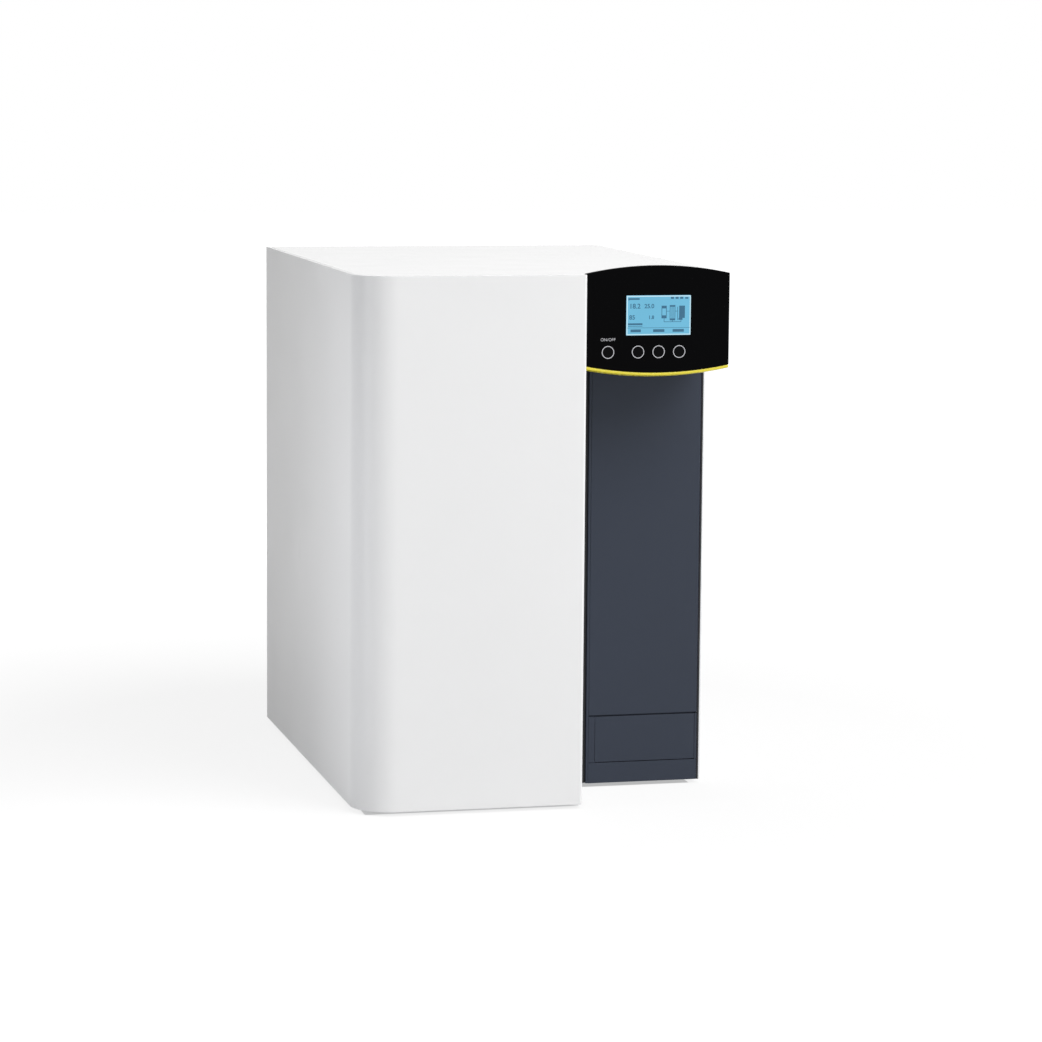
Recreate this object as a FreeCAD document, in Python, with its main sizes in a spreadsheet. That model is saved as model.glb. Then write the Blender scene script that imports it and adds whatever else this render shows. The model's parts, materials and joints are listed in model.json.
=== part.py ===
import FreeCAD, Part
import Sketcher
import math
import os

# Bench-top ultrapure water system, in millimetres.
# +X is to the right seen from the front, +Y to the back, +Z up.
# The origin is the middle of the footprint, on the bench.

doc = FreeCAD.newDocument("water_system")
sheet = doc.addObject("Spreadsheet::Sheet", "dims")

# Driving dimensions: name, value, meaning
DIMENSIONS = [
    ("body_width", 360, "whole cabinet, left to right"),
    ("body_depth", 500, "whole cabinet, front to back"),
    ("body_top", 505, "top face of the lid above the bench"),
    ("skirt", 4, "gap between the outer skins and the bench"),
    ("skin", 3, "wall of the moulded skins"),
    ("seam", 0.6, "shadow gap between the lid and the door's rim"),
    ("foot_height", 8, "rubber foot"),
    ("foot_radius", 12, "rubber foot"),
    ("foot_inset_side", 30, "foot centre in from the cabinet's side"),
    ("foot_inset_rear", 30, "foot centre in from the back"),
    ("foot_inset_front", 40, "foot centre in from the front edge of its bay"),
    ("plate", 2, "steel base, top and frame plates"),
    ("lid_height", 7, "depth of the lid moulding"),
    ("rear_recess", 12, "rear panel in from the back edges of the skins"),
    ("door_width", 217, "front face of the door"),
    ("corner_radius", 38, "front left corner of the door"),
    ("door_return", 10, "flange along the door's free edge"),
    ("door_edge_gap", 1, "flange to the partition's front edge"),
    ("hinge_inset", 5.5, "hinge axis in from the door's outer face"),
    ("hinge_end", 2.5, "hinge axis in from the door's rear end"),
    ("hinge_pin_radius", 1.6, "door hinge pin"),
    ("hinge_pin_length", 16, "door hinge pin above its plate"),
    ("hinge_clearance", 0.05, "radial play round a pin or shaft"),
    ("lug_radius", 3.6, "hinge lug on the door"),
    ("lug_height", 9, "hinge lug on the door"),
    ("lug_gap", 2, "hinge lug to the plate below or above it"),
    ("hinge_tab_radius", 2.3, "ear of a plate under a hinge pin"),
    ("rear_corner_radius", 10, "rear left corner of lid and plates"),
    ("catch_depth", 14, "magnetic catch, front to back"),
    ("catch_width", 15, "magnetic catch, left to right"),
    ("catch_height", 30, "magnetic catch"),
    ("catch_low", 100, "lower catch above the bench"),
    ("catch_high", 380, "upper catch above the bench"),
    ("catch_gap", 0.3, "striker to catch"),
    ("partition", 1.5, "wall between the cartridge bay and the column"),
    ("column_recess", 93.5, "column face behind the door's front face"),
    ("column_left", 30, "left edge of the column cover from the door's edge"),
    ("column_cover_depth", 3.5, "column cover, front to back"),
    ("column_wall", 2.5, "wall of the column cover"),
    ("column_edge_gap", 0.4, "column cover to side panel and head"),
    ("groove", 1, "shadow line between column pieces"),
    ("flap_low", 24.8, "lower edge of the service flap"),
    ("flap_height", 44.8, "service flap"),
    ("flap_thickness", 2.6, "service flap"),
    ("flap_left", 6.5, "plinth left of the flap"),
    ("flap_side", 2.7, "plinth right of the flap"),
    ("flap_gap", 0.3, "flap to the plinth at its sides"),
    ("flap_under_gap", 0.8, "flap to the plinth below it"),
    ("flap_axis_height", 1.5, "trunnion above the flap's lower edge"),
    ("trunnion_radius", 1, "flap trunnion"),
    ("trunnion_length", 1.6, "flap trunnion beyond the flap"),
    ("trunnion_end_gap", 0.3, "end play of the trunnions"),
    ("recess_margin", 6.5, "flap opening in from the flap's edges"),
    ("recess_depth", 38, "pocket behind the flap"),
    ("recess_wall", 2, "pocket behind the flap"),
    ("head_left", 2.5, "left edge of the fascia from the door's edge"),
    ("head_setback", 17, "fascia behind the door's front face"),
    ("fascia_thickness", 4, "display fascia"),
    ("fascia_low", 86.5, "lower corners of the fascia below the lid's top"),
    ("fascia_sag", 6.8, "lower edge of the fascia at its middle"),
    ("fascia_rise", 7.5, "upper edge of the fascia at its middle"),
    ("strip_height", 4.5, "accent strip under the fascia"),
    ("strip_depth", 10, "accent strip, front to back"),
    ("strip_gap", 0.2, "accent strip to fascia"),
    ("head_margin", 3, "head shell in from the fascia's edge"),
    ("head_wall", 2, "head shell"),
    ("lcd_width", 62.5, "visible glass"),
    ("lcd_height", 37, "visible glass"),
    ("lcd_left", 40, "glass in from the fascia's left edge"),
    ("lcd_low", 58, "lower edge of the glass below the lid's top"),
    ("lcd_border", 5, "module round its glass"),
    ("lcd_depth", 9, "module behind the fascia"),
    ("lcd_gap", 0.25, "glass to fascia"),
    ("board_thickness", 1.6, "circuit boards"),
    ("key_radius", 6.3, "push key"),
    ("key_height", 73.8, "key centres below the lid's top"),
    ("key_proud", 0.3, "key in front of the fascia"),
    ("key_gap", 0.3, "key to fascia"),
    ("key_flange", 1, "flange beyond the key's radius"),
    ("key_flange_thickness", 1, "flange behind the fascia"),
    ("key_flange_gap", 0.1, "flange to fascia at rest"),
    ("key_stem_radius", 2, "stem behind a key"),
    ("key_travel", 0.5, "key travel"),
    ("key_stop_gap", 0.3, "stem to switch with the key pressed"),
    ("switch_size", 6, "tactile switch"),
    ("switch_height", 3.2, "tactile switch"),
    ("key_first", 22.2, "first key from the fascia's left edge"),
    ("key_second", 51.4, "second key from the fascia's left edge"),
    ("key_pitch", 20.1, "second to third, and third to fourth key"),
    ("cartridge_radius", 50, "treatment cartridge"),
    ("cartridge_low", 20, "cartridge's foot above the bench"),
    ("cartridge_length", 330, "cartridge without its neck"),
    ("cartridge_edge", 6, "bevel round the cartridge's ends"),
    ("cartridge_collar", 22, "grip collar under the shoulder"),
    ("cartridge_waist", 2, "body in from the collar"),
    ("neck_radius", 24, "cartridge neck"),
    ("neck_length", 42, "cartridge neck"),
    ("lug_reach", 5, "bayonet lug beyond the neck"),
    ("lug_width", 12, "bayonet lug"),
    ("lug_thickness", 5, "bayonet lug"),
    ("bayonet_gap", 0.3, "lug to lip"),
    ("neck_gap", 0.4, "neck to lip"),
    ("socket_radius", 38, "cartridge socket"),
    ("socket_height", 48, "cartridge socket"),
    ("socket_bore", 30, "cartridge socket"),
    ("socket_lip", 4, "lip under the lugs"),
    ("socket_overlap", 22, "shoulder of the cartridge to the socket's lip"),
    ("socket_roof", 24, "solid top of the socket"),
    ("arm_width", 44, "socket arm, front to back"),
    ("arm_height", 26, "socket arm"),
    ("bay_column", 85, "cartridge centres in from the cabinet's left side"),
    ("pretreatment_place", 79, "first cartridge behind the front of its bay"),
    ("polishing_place", 116, "second cartridge in front of the rear panel"),
    ("port_offset", 22, "second spigot beside a socket's first"),
    ("spigot_radius", 6, "tube spigot"),
    ("spigot_length", 10, "tube spigot"),
    ("vessel_radius", 40, "membrane vessel"),
    ("vessel_wall", 4, "membrane vessel"),
    ("vessel_low", 48, "membrane vessel above the bench"),
    ("vessel_length", 352, "membrane vessel"),
    ("membrane_radius", 34, "wound membrane"),
    ("membrane_end_gap", 12, "membrane to cap"),
    ("core_radius", 6, "core tube of the membrane"),
    ("cap_radius", 44, "vessel cap"),
    ("cap_thickness", 10, "end of a vessel cap"),
    ("cap_skirt", 16, "cap over the vessel"),
    ("cap_gap", 0.05, "cap round what it closes"),
    ("clip_wall", 5, "clip round a vessel"),
    ("clip_gap", 0.3, "clip round a vessel"),
    ("clip_height", 20, "clip"),
    ("clip_arm", 30, "clip arm, across"),
    ("clip_low", 112, "lower vessel clip above the vessel's foot, clear of the pressure tube"),
    ("clip_high", 70, "foot of the upper vessel clip below the vessel's top"),
    ("lamp_place_side", 32, "lamp axis in from the side panel"),
    ("lamp_place_front", 41, "lamp axis behind the column's frame"),
    ("housing_radius", 25, "lamp housing"),
    ("housing_wall", 3, "lamp housing"),
    ("housing_low", 110, "lamp housing above the bench"),
    ("housing_length", 290, "lamp housing"),
    ("housing_outlet", 20, "side spigot above the housing's foot"),
    ("lamp_cap_radius", 29, "lamp housing cap"),
    ("lamp_cap_thickness", 12, "end of a lamp housing cap"),
    ("lamp_cap_skirt", 8, "cap over the housing"),
    ("lamp_radius", 8, "ultraviolet lamp"),
    ("lamp_seat", 6, "lamp in its cap"),
    ("lamp_clip_low", 40, "lower lamp clip above the housing's foot"),
    ("lamp_clip_high", 60, "foot of the upper lamp clip below the housing's top"),
    ("pump_place", 75, "pump axis right of the partition"),
    ("pump_axis_height", 62, "pump axis above the bench"),
    ("pump_rear", 44, "motor's rear end in front of the rear panel"),
    ("pump_head_radius", 30, "pump head"),
    ("pump_head_length", 48, "pump head"),
    ("bell_length", 18, "open bell between pump head and motor"),
    ("bell_wall", 5, "open bell"),
    ("motor_radius", 34, "pump motor"),
    ("motor_length", 118, "pump motor"),
    ("shaft_radius", 4, "pump shaft"),
    ("shaft_seat", 12, "shaft into pump head and motor"),
    ("coupling_radius", 10, "shaft coupling"),
    ("coupling_length", 12, "shaft coupling"),
    ("pump_outlet", 24, "outlet behind the pump head's front"),
    ("bracket_width", 60, "pump bracket"),
    ("bracket_plate", 4, "pump bracket's foot"),
    ("bracket_inset", 14, "cradle in from the motor's end"),
    ("cradle_thickness", 10, "cradle under the motor"),
    ("cradle_height", 36, "cradle under the motor"),
    ("tube_radius", 4, "water tubing"),
    ("tube_bore", 3, "water tubing, inner radius"),
    ("tube_bend", 20, "largest bend radius of a tube's centre line"),
    ("tube_hole", 7, "tube hole in the partition"),
    ("high_run", 18, "highest tube run below the top plate"),
    ("feed_run", 41, "feed tube run below the top plate"),
    ("cross_run", 34, "tube run over the board below the top plate"),
    ("suction_run", 26, "pump tube run below the top plate"),
    ("riser_left", 23.5, "risers left of the partition"),
    ("riser_right", 25, "riser right of the partition"),
    ("pressure_run", 150, "pressure tube over the pump above the bench"),
    ("port_height", 70, "rear water ports above the bench"),
    ("port_pitch", 40, "rear water ports"),
    ("port_bore", 4.05, "push-fit bore for 8 mm tube"),
    ("port_body", 7, "water port through the panel"),
    ("port_flange", 11, "water port's collar"),
    ("port_collar", 3, "water port's collar, front to back"),
    ("port_reach", 9, "water port beyond the panel"),
    ("port_stub", 11, "water port inside the panel"),
    ("port_hole_gap", 0.3, "port and module bodies to the panel's holes"),
    ("valve_size", 30, "solenoid valve body"),
    ("valve_depth", 34, "solenoid valve body, front to back"),
    ("coil_radius", 13, "solenoid coil"),
    ("coil_height", 28, "solenoid coil"),
    ("regulator_radius", 12, "pressure regulator"),
    ("regulator_height", 34, "pressure regulator"),
    ("regulator_offset", 22, "regulator in front of the panel's stubs"),
    ("cell_height", 40, "conductivity cell"),
    ("cell_wall", 5, "conductivity cell round its tube"),
    ("cell_low", 250, "first conductivity cell above the bench"),
    ("cell_second", 200, "second conductivity cell above the bench"),
    ("leak_radius", 14, "leak sensor"),
    ("leak_height", 8, "leak sensor"),
    ("leak_front", 39, "leak sensor behind the front of the bay"),
    ("leak_side", 45.5, "leak sensor left of the partition"),
    ("supply_width", 100, "power supply"),
    ("supply_depth", 60, "power supply"),
    ("supply_height", 160, "power supply"),
    ("supply_low", 270, "power supply above the bench"),
    ("supply_left", 13, "power supply right of the partition"),
    ("supply_vent", 5, "power supply's vent slots"),
    ("standoff", 6, "board standoffs"),
    ("standoff_radius", 3.5, "board standoffs"),
    ("standoff_inset", 8, "standoffs in from the board's edges"),
    ("board_width", 180, "controller board, front to back"),
    ("board_height", 150, "controller board"),
    ("board_rear", 116, "controller board in front of the rear panel"),
    ("board_low", 300, "controller board above the bench"),
    ("chip", 24, "components on the controller board"),
    ("chip_height", 9, "components on the controller board"),
    ("inlet_place", 47, "mains module in from the side panel"),
    ("inlet_low", 62, "mains module above the bench"),
    ("inlet_width", 36, "mains module"),
    ("inlet_height", 66, "mains module"),
    ("inlet_flange", 3, "mains module outside the panel"),
    ("inlet_body", 24, "mains module inside the panel"),
    ("inlet_rim", 4, "flange beyond the module's body"),
    ("socket_width", 24, "mains socket cavity"),
    ("socket_tall", 16.5, "mains socket cavity"),
    ("socket_deep", 15, "mains socket cavity"),
    ("socket_up", 9, "cavity above the module's lower edge"),
    ("contact_width", 4, "mains contact"),
    ("contact_thickness", 2, "mains contact"),
    ("contact_length", 9, "mains contact"),
    ("contact_pitch", 7, "mains contacts"),
    ("rocker_width", 20, "mains rocker"),
    ("rocker_tall", 24, "mains rocker"),
    ("rocker_depth", 8, "mains rocker"),
    ("rocker_gap", 0.4, "rocker to its frame at the sides"),
    ("rocker_end_gap", 1.4, "rocker to its frame above and below"),
    ("rocker_up", 47, "rocker axis above the module's lower edge"),
    ("rocker_proud", 2.5, "rocker beyond the module's face"),
    ("data_width", 31, "data connector"),
    ("data_height", 12.5, "data connector"),
    ("data_low", 180, "data connector above the bench"),
    ("data_depth", 16, "data connector"),
    ("data_shell", 5, "metal shell beyond its flange"),
    ("data_margin", 6, "flange beyond the metal shell"),
    ("nut_radius", 4.5, "rivet nut"),
    ("nut_bore", 2.5, "rivet nut, tapped M6"),
    ("nut_length", 14, "rivet nut"),
    ("nut_lip", 1, "rivet nut's lip"),
    ("nut_lip_radius", 6, "rivet nut's lip"),
    ("nut_spread_side", 240, "wall bracket holes, across"),
    ("nut_spread_up", 220, "wall bracket holes, up"),
    ("nut_middle", 350, "wall bracket's centre above the bench"),
    ("screw_radius", 2, "housing screw"),
    ("screw_head_radius", 4, "housing screw"),
    ("screw_head", 2.2, "housing screw"),
    ("screw_length", 10, "housing screw"),
    ("screw_inset", 10, "screws in from the panel's edge"),
    ("overrun", 5, "cutters past the face that they open"),
]
# The rocker rests tipped to its off side
ROCKER_TILT_DEGREES = 8
# A tube's bend may take up this share of the shorter run beside it
BEND_SHARE = 0.45
# The supply's vents and the board's components stand on even divisions
VENT_DIVISIONS = 13
CHIP_DIVISIONS_ALONG = 7
CHIP_DIVISIONS_UP = 5
# Two points are the same below this distance
SAME_POINT = 1e-3

for row, (name, value, meaning) in enumerate(DIMENSIONS, start=1):
    sheet.set(f"A{row}", name)
    sheet.set(f"B{row}", str(value))
    sheet.setAlias(f"B{row}", name)
    sheet.set(f"C{row}", meaning)
doc.recompute()


class Size:
    """A length: its number now, and the sheet formula that gives it."""

    def __init__(self, number, formula):
        self.number = number
        self.formula = formula

    def __add__(self, other):
        other = size(other)
        return Size(self.number + other.number, f"({self.formula} + {other.formula})")

    def __sub__(self, other):
        other = size(other)
        return Size(self.number - other.number, f"({self.formula} - {other.formula})")

    def __mul__(self, other):
        other = size(other)
        return Size(self.number * other.number, f"({self.formula} * {other.formula})")

    def __truediv__(self, other):
        other = size(other)
        return Size(self.number / other.number, f"({self.formula} / {other.formula})")

    def __neg__(self):
        return Size(-self.number, f"(0 - {self.formula})")

    def __radd__(self, other):
        return size(other) + self


def size(value):
    """The value as a Size, so that a plain zero or ratio can stand in a sum."""
    if isinstance(value, Size):
        return value
    return Size(float(value), repr(value))


class Dimensions:
    """The driving dimensions, read back from the sheet."""

    def __getattr__(self, name):
        return Size(float(getattr(sheet, name)), f"{sheet.Name}.{name}")


d = Dimensions()

AXIS_TURNS = {
    "x": FreeCAD.Rotation(FreeCAD.Vector(0, 1, 0), 90),
    "y": FreeCAD.Rotation(FreeCAD.Vector(1, 0, 0), -90),
    "z": FreeCAD.Rotation(),
    "-x": FreeCAD.Rotation(FreeCAD.Vector(0, 1, 0), -90),
    "-y": FreeCAD.Rotation(FreeCAD.Vector(1, 0, 0), 90),
    "-z": FreeCAD.Rotation(FreeCAD.Vector(1, 0, 0), 180),
}

nodes = {}


def node(name, piece):
    """Names a finished sub-part; its Label names its file."""
    piece.Label = name
    nodes[name] = piece
    return piece


def bind(piece, path, value):
    """Ties one property of a piece to the sheet."""
    piece.setExpression(path, size(value).formula)


def place(piece, spot, axis="z"):
    """Puts a piece's own origin at a spot and turns its own Z along an axis."""
    point = FreeCAD.Vector(*[size(part).number for part in spot])
    piece.Placement = FreeCAD.Placement(point, AXIS_TURNS[axis])
    for letter, part in zip("xyz", spot):
        bind(piece, f"Placement.Base.{letter}", part)
    return piece


def block(low, high):
    """A box between two corners."""
    piece = doc.addObject("Part::Box", "block")
    for path, start, end in zip(("Length", "Width", "Height"), low, high):
        span = size(end) - size(start)
        setattr(piece, path, span.number)
        bind(piece, path, span)
    return place(piece, low)


def rod(spot, axis, radius, length):
    """A cylinder from a spot along an axis."""
    piece = doc.addObject("Part::Cylinder", "rod")
    piece.Radius = size(radius).number
    piece.Height = size(length).number
    bind(piece, "Radius", radius)
    bind(piece, "Height", length)
    return place(piece, spot, axis)


def fuse(*pieces):
    """One solid from several that touch."""
    piece = doc.addObject("Part::MultiFuse", "fuse")
    piece.Shapes = list(pieces)
    piece.Refine = True
    return piece


def common(*pieces):
    """What several solids share."""
    piece = doc.addObject("Part::MultiCommon", "common")
    piece.Shapes = list(pieces)
    return piece


def cut(base, *tools):
    """The base less its tools."""
    piece = doc.addObject("Part::Cut", "cut")
    piece.Base = base
    piece.Tool = tools[0] if len(tools) == 1 else group(*tools)
    piece.Refine = True
    return piece


def group(*pieces):
    """Several solids kept apart in one object."""
    piece = doc.addObject("Part::Compound", "group")
    piece.Links = list(pieces)
    return piece


def new_body(name):
    """A body for sketched features."""
    return doc.addObject("PartDesign::Body", name)


def origin_plane(body, role):
    """One of a body's own origin planes."""
    for feature in body.Origin.OriginFeatures:
        if feature.Role == role:
            return feature
    raise RuntimeError(f"{body.Name} has no {role}")


def sketch_outline(body, role, corners, name):
    """A closed outline with straight sides; every corner is tied to the sheet."""
    sketch = body.newObject("Sketcher::SketchObject", name)
    sketch.AttachmentSupport = [(origin_plane(body, role), "")]
    sketch.MapMode = "FlatFace"
    spots = [(size(across), size(up)) for across, up in corners]
    points = [FreeCAD.Vector(across.number, up.number, 0) for across, up in spots]
    count = len(points)
    for index in range(count):
        line = Part.LineSegment(points[index], points[(index + 1) % count])
        sketch.addGeometry(line, False)
    # Constraints come after all the geometry, because they name it by number
    for index in range(count):
        following = (index + 1) % count
        sketch.addConstraint(Sketcher.Constraint("Coincident", index, 2, following, 1))
    for index, spot in enumerate(spots):
        for kind, part, axis in (("DistanceX", spot[0], -2), ("DistanceY", spot[1], -1)):
            if part.number == 0:
                sketch.addConstraint(Sketcher.Constraint("PointOnObject", index, 1, axis))
                continue
            rule = Sketcher.Constraint(kind, -1, 1, index, 1, part.number)
            number = sketch.addConstraint(rule)
            sketch.setExpression(f"Constraints[{number}]", part.formula)
    return sketch


def pad(body, sketch, height, name):
    """A pad upwards from a sketch."""
    feature = body.newObject("PartDesign::Pad", name)
    feature.Profile = sketch
    feature.Length = size(height).number
    bind(feature, "Length", height)
    doc.recompute()
    return feature


def pocket(body, sketch, depth, name, reverse=False):
    """A pocket from a sketch; it has to take material away."""
    before = body.Shape.Volume
    feature = body.newObject("PartDesign::Pocket", name)
    feature.Profile = sketch
    feature.Length = size(depth).number
    feature.Reversed = reverse
    bind(feature, "Length", depth)
    doc.recompute()
    if body.Shape.Volume >= before:
        raise RuntimeError(f"{name} cuts nothing")
    return feature


def fillet_upright_edge(body, across, back, radius, name):
    """Rounds the body's upright edge that stands at a spot in its own frame."""
    base = body.Tip
    spot = FreeCAD.Vector(size(across).number, size(back).number, 0)
    names = []
    for index, edge in enumerate(base.Shape.Edges, start=1):
        start = edge.Vertexes[0].Point
        end = edge.Vertexes[-1].Point
        flat = FreeCAD.Vector(start.x, start.y, 0)
        upright = FreeCAD.Vector(end.x, end.y, 0).distanceToPoint(flat) < SAME_POINT
        if upright and flat.distanceToPoint(spot) < SAME_POINT:
            names.append(f"Edge{index}")
    if not names:
        raise RuntimeError(f"{name} finds no edge")
    feature = body.newObject("PartDesign::Fillet", name)
    feature.Base = (base, names)
    feature.Radius = size(radius).number
    bind(feature, "Radius", radius)
    doc.recompute()
    return feature


def turned(name, profile, spot, axis="z"):
    """A round piece: a half profile of (radius, height) points, turned about its own Z."""
    body = new_body(name)
    sketch = sketch_outline(body, "XZ_Plane", profile, name + "_profile")
    feature = body.newObject("PartDesign::Revolution", name + "_turn")
    feature.Profile = sketch
    feature.ReferenceAxis = (sketch, ["V_Axis"])
    feature.Angle = 360
    doc.recompute()
    return place(body, spot, axis)


# Planes that several pieces share
left = -(d.body_width / 2)
right = d.body_width / 2
front = -(d.body_depth / 2)
back = d.body_depth / 2
plate_low = d.foot_height
floor = plate_low + d.plate
lid_low = d.body_top - d.lid_height
ceiling = lid_low - d.plate
panel_back = back - d.rear_recess
panel_front = panel_back - d.plate
door_right = left + d.door_width
partition_left = door_right - d.partition
bay_front = front + d.door_return + d.door_edge_gap
side_left = right - d.skin
column_front = front + d.column_recess
frame_front = column_front + d.column_cover_depth
frame_back = frame_front + d.plate
hinge_x = left + d.hinge_inset
hinge_y = back - d.hinge_end
skin_inner_left = left + d.skin + d.seam
bay_x = left + d.bay_column
pretreatment_y = bay_front + d.pretreatment_place
polishing_y = panel_front - d.polishing_place
vessel_y = (pretreatment_y + polishing_y) / 2
vessel_top = d.vessel_low + d.vessel_length
column_left = door_right + d.column_left
cover_right = side_left - d.column_edge_gap
flap_left = column_left + d.flap_left
flap_right = cover_right - d.flap_side
head_left = door_right + d.head_left
fascia_low = d.body_top - d.fascia_low
lcd_low = d.body_top - d.lcd_low
key_height = d.body_top - d.key_height
lamp_x = side_left - d.lamp_place_side
lamp_y = frame_back + d.lamp_place_front
pump_x = door_right + d.pump_place
motor_front = panel_front - d.pump_rear - d.motor_length
pump_back = motor_front - d.bell_length
pump_front = pump_back - d.pump_head_length
tub_back = frame_back + d.recess_depth
riser_y = (tub_back + d.recess_wall + pump_front - d.spigot_length) / 2
riser_left = partition_left - d.riser_left
riser_right = door_right + d.riser_right
high_run = ceiling - d.high_run
cross_run = ceiling - d.cross_run
inlet_x = side_left - d.inlet_place


def cabinet_plate(name, low, thickness):
    """A steel plate over both bays, with an ear that holds the door's hinge pin."""
    body = new_body(name)
    width = side_left - skin_inner_left
    bay_width = door_right - skin_inner_left
    depth = back - bay_front
    step = frame_back - bay_front
    corners = [
        (0, 0),
        (bay_width, 0),
        (bay_width, step),
        (width, step),
        (width, depth),
        (0, depth),
    ]
    sketch = sketch_outline(body, "XY_Plane", corners, name + "_outline")
    pad(body, sketch, thickness, name + "_pad")
    front_radius = d.corner_radius - d.door_return - d.door_edge_gap
    fillet_upright_edge(body, 0, 0, front_radius, name + "_front_corner")
    fillet_upright_edge(body, 0, depth, d.rear_corner_radius, name + "_rear_corner")
    place(body, (skin_inner_left, bay_front, low))
    ear = rod((hinge_x, hinge_y, low), "z", d.hinge_tab_radius, thickness)
    return fuse(body, ear)


def base_and_top_plates():
    """The base plate on its feet, and the top plate that the lid sits on."""
    node("base_plate", cabinet_plate("base_sheet", plate_low, d.plate))
    node("top_plate", cabinet_plate("top_sheet", ceiling, d.plate))
    foot_left = left + d.foot_inset_side
    foot_right = right - d.foot_inset_side
    foot_rear = back - d.foot_inset_rear
    spots = [
        (foot_left, bay_front + d.foot_inset_front),
        (foot_left, foot_rear),
        (foot_right, foot_rear),
        (foot_right, frame_back + d.foot_inset_front),
    ]
    feet = [rod((x, y, 0), "z", d.foot_radius, d.foot_height) for x, y in spots]
    node("rubber_feet", group(*feet))


def door():
    """The wrap-round door: left side, rounded corner, front and the flange of its free edge."""
    body = new_body("door_skin")
    width = d.door_width
    depth = d.body_depth
    wall = d.skin
    corners = [
        (0, 0),
        (width, 0),
        (width, wall),
        (wall, wall),
        (wall, depth),
        (0, depth),
    ]
    sketch = sketch_outline(body, "XY_Plane", corners, "door_outline")
    pad(body, sketch, d.body_top - d.skirt, "door_pad")
    fillet_upright_edge(body, 0, 0, d.corner_radius, "door_outer_corner")
    fillet_upright_edge(body, wall, wall, d.corner_radius - wall, "door_inner_corner")
    place(body, (left, front, d.skirt))
    pieces = [body]
    flange_top = ceiling - d.lug_gap
    flange_low = (door_right - wall, front, d.skirt)
    pieces.append(block(flange_low, (door_right, front + d.door_return, flange_top)))
    bores = []
    for low in (floor + d.lug_gap, ceiling - d.lug_gap - d.lug_height):
        pieces.append(rod((hinge_x, hinge_y, low), "z", d.lug_radius, d.lug_height))
        pieces.append(block(
            (left + wall / 2, hinge_y - d.lug_radius, low),
            (hinge_x, hinge_y, low + d.lug_height),
        ))
        bores.append(rod(
            (hinge_x, hinge_y, low - d.overrun), "z",
            d.hinge_pin_radius + d.hinge_clearance, d.lug_height + d.overrun * 2,
        ))
    skin = fuse(*pieces)
    # The lugs end flush with the door's rear end
    past = block(
        (left - d.overrun, back, 0),
        (hinge_x + d.lug_radius + d.overrun, back + d.overrun, d.body_top),
    )
    node("door_shell", cut(skin, past, *bores))
    low_pin = rod((hinge_x, hinge_y, floor), "z", d.hinge_pin_radius, d.hinge_pin_length)
    high_pin = rod((hinge_x, hinge_y, ceiling), "-z", d.hinge_pin_radius, d.hinge_pin_length)
    node("hinge_pins", group(low_pin, high_pin))


def door_catches():
    """Two magnetic catches on the partition, and their strikers inside the door."""
    catches = []
    strikers = []
    catch_left = partition_left - d.catch_width
    for low in (d.catch_low, d.catch_high):
        high = low + d.catch_height
        catches.append(block(
            (catch_left, bay_front, low),
            (partition_left, bay_front + d.catch_depth, high),
        ))
        strikers.append(block(
            (catch_left, front + d.skin, low),
            (partition_left - d.skin, bay_front - d.catch_gap, high),
        ))
    node("door_catches", group(*catches))
    node("door_strikers", group(*strikers))


def lid():
    """The white lid inside the door's rim; its right part stops behind the display fascia."""
    body = new_body("lid_moulding")
    fascia_back = front + d.head_setback + d.fascia_thickness + d.seam
    low_x = skin_inner_left
    low_y = front + d.skin + d.seam
    width = right - low_x
    depth = back - low_y
    step_x = door_right - low_x
    step_y = fascia_back - low_y
    corners = [
        (0, 0),
        (step_x, 0),
        (step_x, step_y),
        (width, step_y),
        (width, depth),
        (0, depth),
    ]
    sketch = sketch_outline(body, "XY_Plane", corners, "lid_outline")
    pad(body, sketch, d.lid_height, "lid_pad")
    round_corner = d.corner_radius - d.skin - d.seam
    fillet_upright_edge(body, 0, 0, round_corner, "lid_front_corner")
    fillet_upright_edge(body, 0, depth, d.rear_corner_radius, "lid_rear_corner")
    wall = d.skin
    inner_step_y = step_y + wall
    hollow = [
        (round_corner, inner_step_y),
        (width - wall, inner_step_y),
        (width - wall, depth - d.rear_corner_radius),
        (round_corner, depth - d.rear_corner_radius),
    ]
    sketch = sketch_outline(body, "XY_Plane", hollow, "lid_hollow")
    pocket(body, sketch, d.lid_height - wall, "lid_pocket", reverse=True)
    place(body, (low_x, low_y, lid_low))
    node("top_cover", body)


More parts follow.
